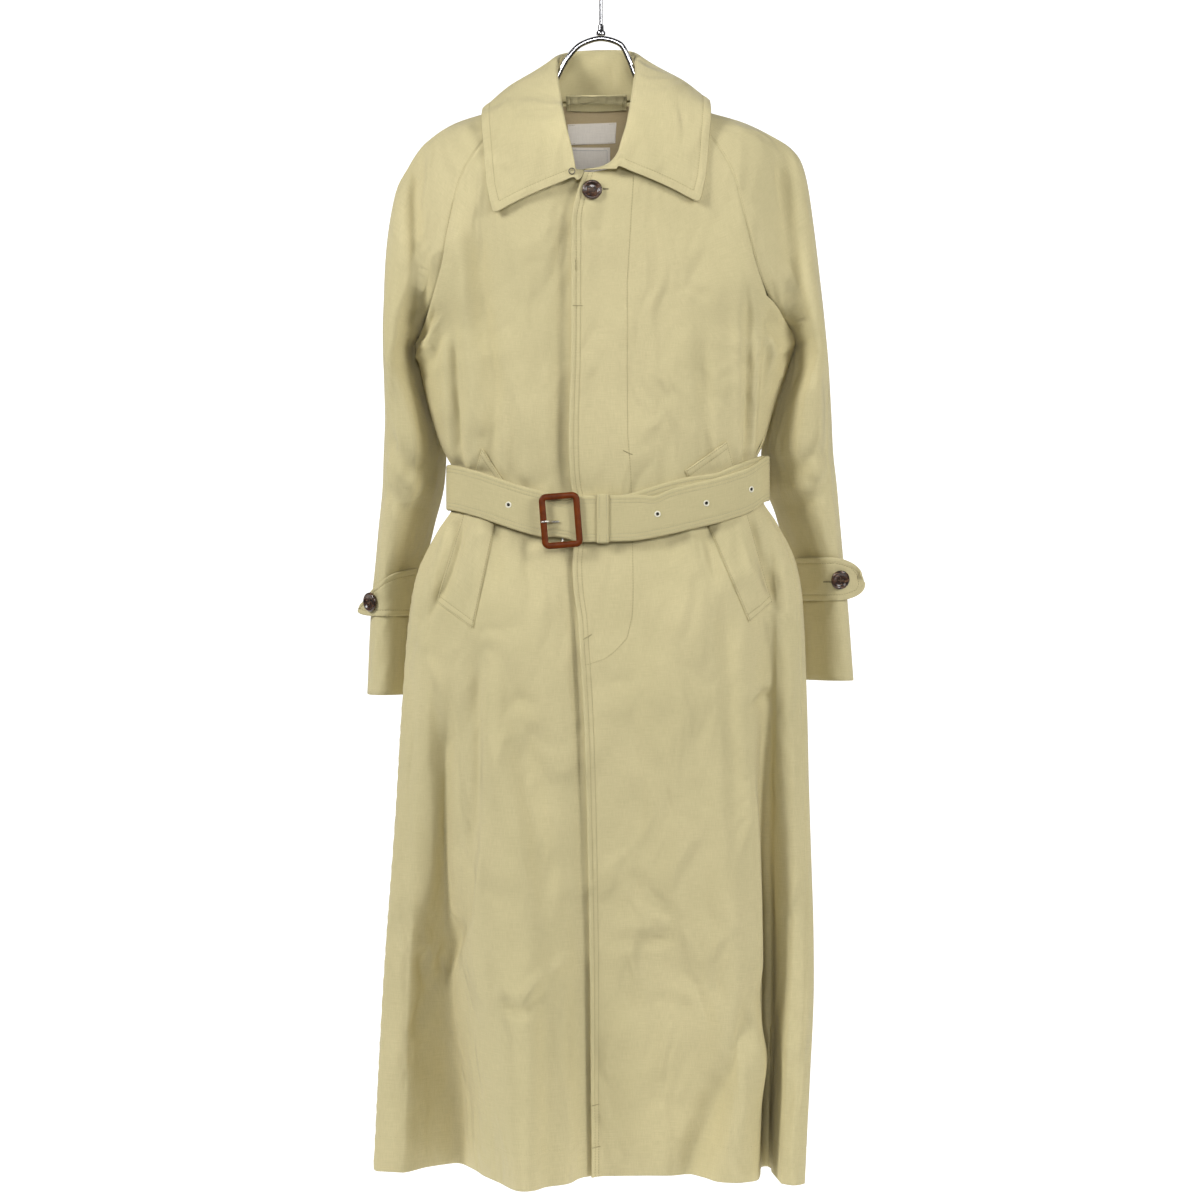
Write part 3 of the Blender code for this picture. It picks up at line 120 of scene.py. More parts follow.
# Lines that run down the body from armpit to hem. Degrees turn from the front (0) over the viewer's
# right (90) to the back (180); hip, mid and hem are where each ridge, valley or flat passes.
BODY_LINES = (
    # name, armpit_deg, belt_deg, hip_x, hip_y, mid_x, mid_y, hem_x, hem_y
    ("front_edge", -7.5, -9.5, -23, -85, -14, -78, -10, -34),
    ("right_flat_inner", 2.6, 7.8, 40, -86, 46, -80, 56, -24),
    ("right_flat_outer", 13.7, 23.8, 90, -84, 98, -82, 110, -34),
    ("right_ridge", 25.2, 38.6, 130, -78, 140, -82, 150, -66),
    ("right_lip", 36.6, 51, 158, -66, 164, -64, 172, -34),
    ("right_valley_near", 47.8, 60.2, 176, -50, 176, -22, 180, 26),
    ("right_valley_far", 58, 67, 186, -44, 186, -20, 187, 28),
    ("right_panel_lip", 68.3, 73.7, 198, -46, 198, -48, 190, -50),
    ("right_seam", 86, 83, 214, -32, 222, -36, 208, -80),
    ("right_side", 99, 94, 223, -8, 230, -8, 239, -34),
    ("back_right_turn", 110, 108, 216, 24, 224, 30, 234, 26),
    ("back_right_ridge", 124, 124, 194, 54, 206, 62, 220, 74),
    ("back_right_valley", 138, 138, 162, 74, 172, 66, 182, 72),
    ("back_ridge_b", 151, 151, 120, 92, 134, 96, 147, 108),
    ("back_valley_b", 162, 162, 76, 96, 90, 93, 104, 96),
    ("back_ridge_c", 172, 172, 34, 102, 44, 112, 56, 127),
    ("back_middle", 182, 182, -4, 100, 0, 104, 4, 108),
    ("back_ridge_d", 192, 193, -42, 102, -42, 106, -40, 116),
    ("back_valley_d", 203, 205, -84, 97, -88, 88, -92, 86),
    ("back_ridge_e", 216, 218, -126, 92, -138, 101, -148, 122),
    ("back_left_valley", 231, 232, -164, 72, -176, 68, -190, 74),
    ("back_left_ridge", 249, 247, -190, 46, -208, 58, -230, 72),
    ("left_seam", 272, 269, -207, -4, -224, 4, -250, 16),
    ("left_front_turn", 287, 281, -200, -28, -214, -20, -238, -8),
    ("left_shoulder_line", 295.6, 291, -188, -44, -200, -26, -216, -8),
    ("left_valley_near", 304, 300, -172, -50, -184, -22, -190, 26),
    ("left_valley_far", 312, 308, -156, -60, -168, -20, -160, 44),
    ("left_flank", 319.6, 316, -138, -72, -154, -48, -136, 4),
    ("left_rise", 327.6, 324, -118, -80, -138, -74, -110, -62),
    ("left_ridge", 336, 332, -94, -86, -110, -86, -82, -112),
    ("left_flat", 344.7, 341, -58, -87, -62, -84, -46, -84),
)
LINE_NAMES = [row[0] for row in BODY_LINES]
LINES = len(BODY_LINES)
RIGHT_SEAM = LINE_NAMES.index("right_seam")
LEFT_SEAM = LINE_NAMES.index("left_seam")

# Raglan seams from the neck (0) to the underarm (1), measured from the coat's middle line.
RAGLAN = (
    # at, front_x, front_z, back_x, back_z
    (0.00, 86, -214, 60, -187),
    (0.14, 110, -229, 84, -200),
    (0.28, 131, -253, 112, -226),
    (0.42, 148, -286, 136, -262),
    (0.58, 160, -334, 156, -318),
    (0.74, 172, -385, 172, -376),
    (0.88, 190, -430, 190, -430),
    (1.00, 208, -459, 208, -459),
)

# Height of each sleeve row where it crosses the overarm seam.
OVERARM = ((0.0, -187), (0.14, -203), (0.28, -221), (0.42, -241), (0.58, -275), (0.74, -335),
           (0.88, -400), (1.0, -462))

# Sleeve sections below the armpit: inner seam, overarm seam, and the reach in front and behind.
SLEEVE_LEFT = (
    # z, in_x, in_y, out_x, out_y, front, back
    (-462, -206, 8, -238, 12, -58, 104),
    (-536, -180, 32, -237, 24, -46, 112),
    (-579, -171, 40, -239, 30, -38, 115),
    (-607, -173, 46, -240, 36, -30, 118),
    (-660, -186, 56, -246, 48, -12, 124),
    (-706, -196, 66, -251, 60, 6, 130),
    (-739, -199, 74, -255, 68, 16, 134),
    (-844, -200, 86, -261, 84, 26, 142),
)
SLEEVE_RIGHT = (
    # z, in_x, in_y, out_x, out_y, front, back
    (-462, 218, 6, 250, 12, -58, 104),
    (-536, 186, 32, 255, 24, -46, 112),
    (-579, 179, 38, 258, 31, -38, 115),
    (-612, 184, 46, 262, 34, -26, 119),
    (-645, 197, 58, 265, 34, -15, 123),
    (-706, 212, 74, 271, 38, 8, 130),
    (-740, 216, 84, 275, 42, 17, 134),
    (-828, 218, 96, 282, 48, 25, 142),
)

SLEEVE_LEAN = 26.0  # how far the inner side leans out from the body

# A trough runs from each shoulder point down to the armpit, where the sleeve turns down.
GROOVE_WIDTH = 17.0
GROOVE_DEPTH = 8.0
GROOVES = {
    "left": ((-206, -262), (-198, -346), (-190, -394), (-204, -446)),
    "right": ((199, -246), (203, -293), (207, -340), (211, -398), (214, -440)),
}

# The collar, from its front corner (0) to the middle of the back (1), from the coat's middle line.
COLLAR = (
    # at, roll_x, roll_y, roll_z, edge_x, edge_y, edge_z
    (0.00, 24, -95, -276, 110, -89, -316),
    (0.12, 28, -92, -254, 117, -82, -287),
    (0.26, 36, -76, -224, 121, -71, -246),
    (0.42, 42, -44, -186, 124, -48, -209),
    (0.56, 46, -8, -153, 123, -4, -194),
    (0.68, 43, 22, -136, 108, 42, -199),
    (0.80, 31, 44, -128, 76, 62, -209),
    (0.90, 16, 53, -125, 38, 69, -213),
    (1.00, 0, 56, -124, 0, 71, -214),
)
COLLAR_BULGE = 5.0
COLLAR_LEFT_DROP = (10.0, 4.0)  # how much lower the left leaf's roll and its corner lie in front
COLLAR_FLAT = 0.28  # share of each half, from the front, where that drop fades and the leaf lies flat
COLLAR_SEAM_GAP = 3.0
COLLAR_FOLD = 3.0  # half the thickness of the roll
COLLAR_LEAF_STEPS = (0.1, 0.5, 1.0)

# Welts of the slanting pockets: corners as (x, z), seen from the front.
WELT_LEFT = ((-127, -576), (-104, -611), (-137, -769), (-177, -741))
WELT_RIGHT = ((137, -568), (92, -600), (161, -762), (187, -741))

# Pieces inside the back of the neck, corners as (x, z).
LABEL_UPPER = ((-36, -208), (18, -206), (17, -228), (-35, -230))
LABEL_LOWER = ((-34, -233), (11, -233), (11, -274), (-34, -274))
LABEL_WALL = 0.8
LABEL_LIFT = 1.4
BORDER_AT = 3.0  # the lower label's woven border, from its edge
HANGING_LOOP = ((-37, -185), (29, -184), (29, -193), (-37, -194))
LOOP_WALL = 1.6
LOOP_LIFT = 3.0

BELT_TIP_COLUMN = 17  # column of the body's rings where the belt's tip lies
# Cuff straps: across the sleeve's front half from the inner seam (0) to the overarm seam (1).
STRAPS = {
    # at, top_z, low_z
    "left": ((0.125, -704, -756), (0.4, -709, -756), (0.69, -724, -756)),
    "right": ((0.125, -692, -739), (0.4, -692, -739), (0.625, -692, -739)),
}
STRAP_TIPS = {
    # reach_x, reach_y, top_z, low_z
    "left": (-19, 20, -742, -757),
    "right": (30, 9, -697, -737),
}
NECK_BUTTON_AT = (-8.5, -300.0)
BUTTON_DIAMETER = 21.5
BUTTON_THICK = 4.2
BUCKLE_AT = (-42.0, -654.0)
BUCKLE_SIZE = (43.5, 59.0)
BUCKLE_BAR = 6.8
BUCKLE_THICK = 4.4
BUCKLE_LEAN_DEG = 4.5
KEEPER_AT_X = 3.0
KEEPER_WIDTH = 12.0
EYELET_XS = (-98.0, 61.5, 114.0, 163.0)
EYELET_RADIUS = 2.6
EYELET_WIRE = 0.8
EYE_AT = (-30.0, -96.6, -281.0)
EYE_RADIUS = 3.2
EYE_WIRE = 0.6
TUBE_RADIUS = 3.0
HOOK_WIRE = 1.9
SWIVEL_PROFILE = ((0.0, 0.0), (5.0, 0.0), (5.0, 4.0), (3.0, 6.0), (3.0, 11.6), (0.0, 11.6))  # radius, height
HOOK_RADIUS = 22.0
HANGER_APEX_Z = -121.0
HANGER_BOW = (
    # x, y, z
    (-203, 4, -256), (-172, 4, -236), (-136, 4, -219), (-84, 4, -201), (-52, 4, -172), (-36, 3, -143),
    (-20, 2, -127), (1, 2, HANGER_APEX_Z), (22, 2, -127), (31, 3, -142), (40, 4, -164), (57, 4, -187),
    (86, 4, -203), (138, 4, -218), (174, 4, -233), (199, 4, -250),
)

# ---------------------------------------------------------------- what the fine shells add
COLLAR_WALL = 1.6
WELT_WALL = 1.2
WELT_LIFT = 1.7  # from the panel's face to the middle of the welt
SEAM_HALF = 0.28  # from a panel's edge to the middle of its seam
LAP_BLEND = 38.0  # the covered front edge sinks over this width
LAP_SINK = 0.8  # and this much deeper than its solid, clear of the creases on top
SEAM_ROLL = 0.8  # depth and width of the roll beside a sewn seam
SEAM_ROLL_WIDTH = 2.4
FRONT_EDGE_ROWS = (4.8, 9.9)  # topstitch rows beside the front edge
STITCH_DIP = 0.42  # depth of the groove that a row of stitches draws in
PUCKER = 0.34  # height of the small gathers between the front edge's rows
EDGE_LIFT = 2.2  # the front edge on top stands off a little, and narrows towards its own rim
EDGE_LIFT_WIDTH = 5.0
SEAM_PUCKER = 0.35  # small gathers beside the side seams of the skirt
SHOULDER_DRAWN_IN = (11.0, -255.0, 62.0)  # the left shoulder's outline: most, height, reach
UNDERARM_Z = -481.0
UNDERARM_CLOSE = (6.5, 5.0)  # the sleeves close up to the body under the arm
HEM_DEPTH = 38.0  # the hem's stitches, above its edge
COLLAR_STITCH = 9.2  # topstitching, from the leaf's edge
COLLAR_ROUND = 5.0  # radius of the leaf's corners
WELT_STITCHES = (1.4, 7.2)  # topstitching, from the welt's ends
UNEVEN = 1.1  # height of the long waves
SETTLING = 24  # passes that ease a sleeve's rows near the armpit

# Distances from an edge at which the shells have rows or columns, close together near stitches and rolls.
EDGE_STEPS = (0, 0.8, 1.6, 2.6, 3.8, 4.8, 5.8, 7.2, 8.8, 9.9, 11.2, 13.5, 16)
HEM_STEPS = (0, 1.2, 2.6, 5, 9, 16, 25, 34, 36.5, 38, 39.5, 42)
COLLAR_EDGE_STEPS = (0, 0.7, 1.6, 2.8, 4.4, 6.2, 8, 9.2, 10.4, 12.5, 15)
WELT_EDGE_STEPS = (0, 0.5, 1.4, 2.8, 4.5, 6.2, 7.2, 8.2, 9.5)
BELT_EDGE_STEPS = (0, 0.5, 1.3, 2.6, 3.6, 4.6, 6.2, 7.4, 8.6, 10.5)

TONGUE_DROP = 8.0  # the front layer hangs a little below the one behind it
TONGUE_COLUMN = 9.0  # most at this column of the body, and fading over so many
TONGUE_REACH = 7.0
# Lines sewn on the front that shows, seen from the front.
FLY_LINE = (
    # x, z
    (36, -283), (29, -400), (29.5, -560), (33, -600), (35, -672), (35.5, -738), (34.5, -756), (29, -780),
    (15, -795), (5, -802), (-12, -808), (-17, -809),
)
RIGHT_TACKS = (
    # start and end as (x, z)
    ((-29, -424), (-19, -424)), ((-26, -375), (-26, -386)), ((25, -579), (34.5, -583)),
    ((-18, -781), (-9, -776)), ((-11, -1288), (-1, -1287)), ((-11, -1335), (0, -1334)),
)

PANELS = ("front_right", "front_left", "back", "sleeve_left_front", "sleeve_left_back", "sleeve_right_front",
          "sleeve_right_back")
TONGUE_DIP = (4.8, 59.0, 12.0)  # the belt's tongue sags at its top edge: most, place, reach
BUCKLE_PINCH = (5.0, 3.5, -42.0, 13.0)  # the belt is drawn narrower in its buckle: top, bottom, place, reach
REAR_PEEK = (6.5, 24.0, 124.0)  # the rear layer stands above the tongue: most, from, to
STRAP_STITCH = 6.2  # topstitching, from the strap's edge
STRAP_ROWS = (0, 0.015, 0.04, 0.075, 0.11, 0.135, 0.155, 0.175, 0.205, 0.25, 0.31, 0.37, 0.44, 0.5)
FOLD_GAIN = 1.22  # all creases are this much deeper than their table says
STAND_TUCKS = ((-10, -165), (-3, -166), (4, -166), (11, -165))
WAVES = (
    # scale_x, scale_z, shift, share
    (31.0, 97.0, 0.4, 0.45), (17.0, -61.0, 2.1, 0.25), (53.0, 143.0, 4.4, 0.4), (11.5, 37.0, 1.3, 0.12),
)

# Creases listed one by one: routes seen from the front as (x, z); troughs are below zero.
FOLDS = {
    # panel: depth, width, route
    "front_left": (
        (4.6, 13, ((-158, -300), (-149, -378), (-143, -450), (-136, -512), (-140, -566), (-142, -640))),
        (-5.2, 13, ((-138, -310), (-129, -385), (-122, -453), (-114, -514), (-118, -566), (-120, -640))),
        (2.6, 7, ((-168, -440), (-165, -519), (-160, -585), (-158, -640))),
        (-3.0, 6, ((-157, -440), (-153, -519), (-149, -585), (-148, -640))),
        (-2.4, 9, ((-100, -510), (-95, -570), (-96, -620))),
        (1.8, 8, ((-86, -520), (-80, -575), (-78, -624))),
        (-2.0, 8, ((-66, -545), (-60, -590), (-58, -630))),
        (-1.6, 16, ((-56, -290), (-66, -370), (-72, -450))),
        (-4.6, 20, ((-30, -260), (-38, -330), (-40, -450), (-38, -560), (-34, -660))),
        (-0.8, 12, ((-27, -640), (-26, -790), (-22, -960), (-20, -1150), (-18, -1500))),
        (-4.0, 5, ((-176, -420), (-190, -444), (-206, -464))),
        (4.2, 5, ((-172, -432), (-186, -458), (-202, -480))),
        (-3.8, 5, ((-170, -448), (-180, -474), (-194, -500))),
        (3.4, 7, ((-158, -640), (-166, -668), (-176, -704), (-186, -744))),
        (-5.0, 7, ((-147, -640), (-152, -675), (-163, -713), (-178, -748))),
        (-3.4, 7, ((-170, -722), (-184, -752), (-200, -784))),
        (2.2, 10, ((-126, -640), (-130, -690), (-138, -740))),
        (-2.6, 9, ((-108, -640), (-110, -690), (-112, -730))),
        (-2.0, 8, ((-72, -650), (-76, -690), (-78, -724))),
        (-3.2, 3.4, ((-29, -640), (-28, -760), (-22, -860), (-18, -960), (-15, -1100), (-13, -1400))),
        (7.0, 15, ((-182, -770), (-186, -860), (-188, -950), (-190, -1030), (-202, -1120))),
        (4.0, 16, ((-164, -770), (-172, -906), (-178, -1040), (-196, -1130))),
        (-8.4, 14, ((-132, -760), (-134, -850), (-138, -978), (-150, -1084), (-176, -1151), (-200, -1210))),
        (5.4, 22, ((-124, -770), (-116, -884), (-92, -1000), (-80, -1084), (-76, -1162), (-77, -1290),
                   (-78, -1420))),
        (-4.4, 20, ((-96, -780), (-84, -884), (-62, -1000), (-50, -1084))),
        (-4.4, 8, ((-200, -1119), (-188, -1166), (-209, -1226))),
        (3.0, 7, ((-216, -1108), (-200, -1118), (-186, -1112))),
        (3.4, 5, ((-112, -1148), (-98, -1160), (-86, -1164), (-74, -1150), (-64, -1138))),
        (-4.6, 6, ((-110, -1160), (-96, -1176), (-82, -1180), (-66, -1166), (-50, -1152))),
        (3.6, 8, ((-72, -1150), (-46, -1132), (-24, -1122))),
        (-5.4, 16, ((-62, -1150), (-56, -1220), (-54, -1300), (-54, -1420))),
        (2.6, 12, ((-30, -1230), (-34, -1300), (-36, -1420))),
        (-2.4, 12, ((-150, -1190), (-156, -1270), (-160, -1400))),
        (2.2, 12, ((-122, -1200), (-124, -1290), (-126, -1420))),
        (-1.6, 9, ((-110, -860), (-88, -846), (-62, -852))),
    ),
    "front_right": (
        (-2.2, 13, ((2, -300), (-6, -380), (-4, -470), (-2, -560))),
        (-1.8, 12, ((54, -290), (62, -370), (68, -450))),
        (1.8, 14, ((84, -330), (92, -430), (96, -520))),
        (-3.4, 12, ((108, -440), (114, -530), (118, -620))),
        (2.2, 7, ((147, -400), (149, -500), (150, -592), (152, -640))),
        (-3.6, 6, ((160, -380), (159, -500), (157, -592), (158, -640))),
        (2.4, 6, ((171, -410), (168, -510), (164, -592), (166, -640))),
        (-3.0, 7, ((184, -390), (179, -480), (174, -560), (172, -600))),
        (-1.8, 8, ((68, -540), (70, -580), (70, -620))),
        (-1.4, 7, ((26, -548), (27, -580), (27, -618))),
        (5.4, 6, ((180, -408), (196, -436), (214, -462))),
        (-5.4, 5, ((178, -424), (192, -452), (206, -480))),
        (2.6, 5, ((176, -442), (188, -470), (200, -500))),
        (-1.5, 5, ((92, -400), (108, -412), (124, -408))),
        (-1.2, 4, ((-12, -448), (4, -452), (22, -449))),
        (-1.2, 4, ((-8, -520), (8, -514), (26, -520))),
        (-2.2, 14, ((12, -800), (14, -930), (16, -1080), (12, -1240))),
        (4.4, 24, ((86, -690), (92, -850), (88, -1000), (84, -1130))),
        (-3.8, 20, ((38, -700), (38, -850), (36, -1000), (34, -1110))),
        (-4.6, 16, ((130, -700), (136, -800), (142, -900), (146, -1040))),
        (-4.4, 7, ((160, -640), (172, -685), (182, -719), (190, -745))),
        (2.6, 7, ((148, -640), (158, -690), (168, -730), (174, -764))),
        (-2.6, 6, ((188, -738), (198, -760), (210, -784))),
        (3.0, 5, ((156, -846), (168, -836), (188, -822))),
        (-3.6, 7, ((156, -860), (168, -850), (190, -838))),
        (-2.4, 9, ((112, -640), (120, -690), (124, -730))),
        (1.8, 9, ((92, -640), (98, -690), (102, -726))),
        (-1.6, 7, ((70, -650), (74, -690), (76, -716))),
        (5.0, 9, ((156, -860), (163, -960), (167, -1060), (168, -1170), (167, -1270), (163, -1500))),
        (4.0, 8, ((201, -860), (200, -960), (199, -1060), (199, -1170), (196, -1270), (192, -1500))),
        (-7.4, 16, ((176, -1130), (158, -1190), (140, -1240), (118, -1290), (102, -1340), (84, -1420))),
        (5.0, 16, ((190, -1190), (170, -1240), (152, -1290), (132, -1360), (120, -1440))),
        (3.0, 7, ((36, -1088), (56, -1092), (76, -1084))),
        (-3.6, 8, ((26, -1104), (50, -1108), (80, -1102))),
        (-1.1, 3.5, ((-16, -828), (14, -829), (43, -828))),
    ),
    "sleeve_left_front": (
        (2.5, 12, ((-214, -250), (-220, -330), (-222, -400), (-224, -470))),
        (-6.0, 11, ((-196, -240), (-203, -300), (-200, -352), (-193, -400), (-196, -450))),
        (5.0, 14, ((-206, -470), (-203, -540), (-201, -600), (-204, -660))),
        (-4.0, 12, ((-236, -560), (-218, -580), (-198, -604))),
        (-3.0, 9, ((-240, -616), (-224, -630), (-206, -646))),
        (2.0, 10, ((-236, -588), (-218, -606), (-202, -624))),
        (-4.0, 6, ((-190, -424), (-204, -438), (-222, -446))),
        (2.4, 6, ((-194, -438), (-208, -452), (-224, -460))),
        (-2.6, 9, ((-222, -470), (-226, -540), (-232, -600))),
    ),
    "sleeve_right_front": (
        (-6.0, 11, ((190, -240), (200, -304), (205, -353), (209, -401), (211, -445))),
        (2.5, 12, ((212, -240), (222, -320), (230, -400), (234, -470))),
        (4.0, 13, ((226, -470), (216, -545), (208, -600), (214, -670))),
        (-4.0, 12, ((248, -566), (228, -584), (206, -600))),
        (-3.0, 9, ((254, -612), (236, -624), (214, -640))),
        (2.0, 10, ((250, -590), (232, -606), (210, -622))),
        (-4.0, 6, ((194, -408), (214, -424), (232, -430))),
        (2.6, 6, ((198, -424), (216, -440), (234, -448))),
        (-2.6, 9, ((244, -470), (248, -540), (252, -600))),
    ),
    "sleeve_left_back": (
        (-4.0, 12, ((-232, -566), (-214, -584), (-198, -604))),
        (-3.4, 10, ((-238, -612), (-222, -630), (-204, -640))),
        (2.4, 11, ((-226, -330), (-220, -420), (-218, -500))),
        (-4.0, 9, ((-190, -350), (-196, -420), (-206, -470))),
    ),
    "sleeve_right_back": (
        (-4.0, 12, ((246, -560), (226, -580), (206, -606))),
        (-3.4, 10, ((256, -606), (238, -622), (220, -640))),
        (2.4, 11, ((230, -330), (228, -420), (232, -500))),
        (-4.0, 9, ((196, -350), (204, -420), (218, -470))),
    ),
    "back": (
        (-4.0, 14, ((-120, -320), (-116, -440), (-108, -560), (-104, -640))),
        (3.0, 13, ((-142, -330), (-140, -440), (-130, -560), (-126, -640))),
        (-3.0, 11, ((-40, -470), (-44, -560), (-44, -640))),
        (2.8, 13, ((20, -430), (24, -540), (24, -640))),
        (-4.2, 14, ((96, -350), (100, -470), (104, -560), (106, -640))),
        (3.0, 12, ((122, -360), (124, -470), (126, -560), (128, -640))),
        (-3.4, 9, ((150, -500), (150, -570), (150, -640))),
        (-3.4, 9, ((-152, -490), (-148, -570), (-146, -640))),
        (-3.8, 10, ((-128, -640), (-138, -700), (-150, -756))),
        (-3.0, 9, ((-60, -640), (-64, -690), (-68, -730))),
        (2.2, 9, ((-10, -640), (-8, -690), (-6, -720))),
        (-3.0, 9, ((50, -640), (54, -690), (58, -730))),
        (-3.8, 10, ((126, -640), (138, -700), (150, -752))),
        (3.6, 20, ((-90, -760), (-98, -920), (-104, -1100), (-108, -1440))),
        (-3.6, 18, ((-50, -800), (-54, -960), (-58, -1120), (-60, -1440))),
        (3.6, 20, ((80, -780), (90, -950), (96, -1120), (98, -1440))),
        (-3.6, 17, ((10, -860), (4, -1020), (4, -1160), (2, -1440))),
        (-3.0, 16, ((136, -900), (146, -1040), (152, -1180), (156, -1440))),
        (-2.4, 8, ((-30, -1100), (0, -1112), (40, -1096))),
    ),
}


# ---------------------------------------------------------------- curves and sections
def read_table(rows, at):
    """Smooth values of a table's other columns at stations of its first one, with no overshoot."""
    table = np.array([[float(cell) for cell in row] for row in rows])
    table = table[np.argsort(table[:, 0])]
    knots, values = table[:, 0], table[:, 1:]
    steps = np.diff(knots)[:, None]
    rise = np.diff(values, axis=0) / steps
    slopes = np.vstack([rise[:1], np.zeros((len(knots) - 2, values.shape[1])), rise[-1:]])
    product = rise[:-1] * rise[1:]
    weight_a = 2 * steps[1:] + steps[:-1]
    weight_b = steps[1:] + 2 * steps[:-1]
    safe = np.where(product > 0, 1.0, np.nan)
    mean = (weight_a + weight_b) / (weight_a / (rise[:-1] * safe) + weight_b / (rise[1:] * safe))
    slopes[1:-1] = np.nan_to_num(mean)
    at = np.clip(np.asarray(at, float), knots[0], knots[-1])
    index = np.clip(np.searchsorted(knots, at, side="right") - 1, 0, len(knots) - 2)
    step = (knots[index + 1] - knots[index])[..., None]
    along = ((at - knots[index])[..., None]) / step
    square, cube = along ** 2, along ** 3
    return (values[index] * (2 * cube - 3 * square + 1) + slopes[index] * step * (cube - 2 * square + along)
            + values[index + 1] * (3 * square - 2 * cube) + slopes[index + 1] * step * (cube - square))


def smoothstep(value):
    """0 to 1 with a soft start and end."""
    value = np.clip(value, 0.0, 1.0)
    return value * value * (3 - 2 * value)


def signed_power(value, power):
    return np.sign(value) * np.abs(value) ** power


def bell(away, width):
    """1 at a line and fading to nothing past twice the width."""
    return np.exp(-(away / width) ** 2)


def body_oval(z, degrees):
    """The plain section of the body at z: x and y at a direction."""
    left, right, front, back = np.moveaxis(read_table(BODY_SECTIONS, z), -1, 0)
    turn = np.radians(degrees)
    x = (left + right) / 2 + (right - left) / 2 * signed_power(np.sin(turn), 2 / SQUARE)
    ahead = signed_power(np.cos(turn), 2 / SQUARE)
    y = SIDE_Y + np.where(ahead > 0, (front - SIDE_Y) * ahead, (SIDE_Y - back) * ahead)
    return np.stack([x, y], axis=-1)


def waist_sag(z, degrees):
    """How much lower a row hangs than its nominal height, most at the front of the belt."""
    ahead = np.maximum(np.cos(np.radians(degrees)), 0.0) ** 3
    above = smoothstep((ARMPIT_Z - z) / (ARMPIT_Z - BELT_TOP_Z))
    below = smoothstep((z - SAG_END_Z) / (BELT_BOTTOM_Z - SAG_END_Z))
    level = BELT_RISE * np.sin(np.radians(degrees)) - BELT_SAG * ahead
    return level * np.minimum(above, below)


def ring_curve(points, steps):
    """A closed smooth curve through each row's points (rows, lines, 2), `steps` columns a line."""
    ahead = np.roll(points, -1, axis=1)
    length = np.sqrt(np.maximum(np.linalg.norm(ahead - points, axis=-1, keepdims=True), 1e-6))
    before = np.roll(length, 1, axis=1)
    slope = (ahead - points) / length
    slope_before = np.roll(slope, 1, axis=1)
    tangent = slope_before + slope - (ahead - np.roll(points, 1, axis=1)) / (before + length)
    tangent_ahead = np.roll(tangent, -1, axis=1)
    columns = []
    for step in range(steps):
        u = step / steps
        columns.append(points * (2 * u ** 3 - 3 * u ** 2 + 1) + tangent * length * (u ** 3 - 2 * u ** 2 + u)
                       + ahead * (3 * u ** 2 - 2 * u ** 3) + tangent_ahead * length * (u ** 3 - u ** 2))
    return np.stack(columns, axis=2).reshape(len(points), -1, points.shape[-1])


def body_rings(heights, steps):
    """The body below the armpit as rows of points, all the way round (rows, columns, 3)."""
    heights = np.asarray(heights, float)
    table = np.array([row[1:] for row in BODY_LINES], float)
    armpit_deg, belt_deg = table[:, 0].copy(), table[:, 1].copy()
    armpit_deg[armpit_deg > 340] -= 360
    belt_deg[belt_deg > 340] -= 360
    share = smoothstep((ARMPIT_Z - heights) / (ARMPIT_Z - BELT_Z))[:, None]
    degrees = armpit_deg * (1 - share) + belt_deg * share
    plain = body_oval(np.broadcast_to(heights[:, None], degrees.shape), degrees)
    relief = []
    for line in range(LINES):
        rows = [(ARMPIT_Z, 0, 0), (BELT_BOTTOM_Z, 0, 0)]
        for level, column in ((HIP_Z, 2), (MID_Z, 4), (HEM_Z, 6)):
            base = body_oval(np.array(level), belt_deg[line])
            rows.append((level, table[line, column] - base[0], table[line, column + 1] - base[1]))
        relief.append(read_table(rows, heights))
    flat = ring_curve(plain + np.stack(relief, axis=1), steps)
    sag = waist_sag(heights[:, None], degrees)
    drop = ring_curve(np.stack([sag, sag], axis=-1), steps)[..., :1]
    return np.concatenate([flat, heights[:, None, None] + drop], axis=-1)


def shoulder_depth(x, z, front):
    """y of the shoulders' and chest's surface, above the armpit."""
    left, right, ahead, behind = np.moveaxis(read_table(SHOULDER_SECTIONS, z), -1, 0)
    away = np.abs(x - (left + right) / 2) / ((right - left) / 2)
    reach = np.maximum(1 - away ** 2.4, 0.0) ** (1 / 2.4)
    return (ahead if front else behind) * reach


def raglan_line(side, at, front, underarm):
    """A raglan seam's points (rows, 3); side is -1 for the viewer's left."""
    at = np.asarray(at, float)
    values = read_table(RAGLAN, at)
    x, z = (values[:, 0], values[:, 1]) if front else (values[:, 2], values[:, 3])
    x = COAT_X + side * x
    z = z + TILT * (x - COAT_X) * (1 - at)
    x = x + (underarm[0] - x[-1]) * at ** 4
    y = shoulder_depth(x, z, front)
    turn_in = smoothstep((at - 0.7) / 0.3) ** 1.5
    return np.stack([x, y * (1 - turn_in) + underarm[1] * turn_in, z], axis=-1)


def rows_between(at, start, end):
    """Rows above the armpit: one number for each row, from the neck (0) to the armpit (1)."""
    return start + (end - start) * np.asarray(at)


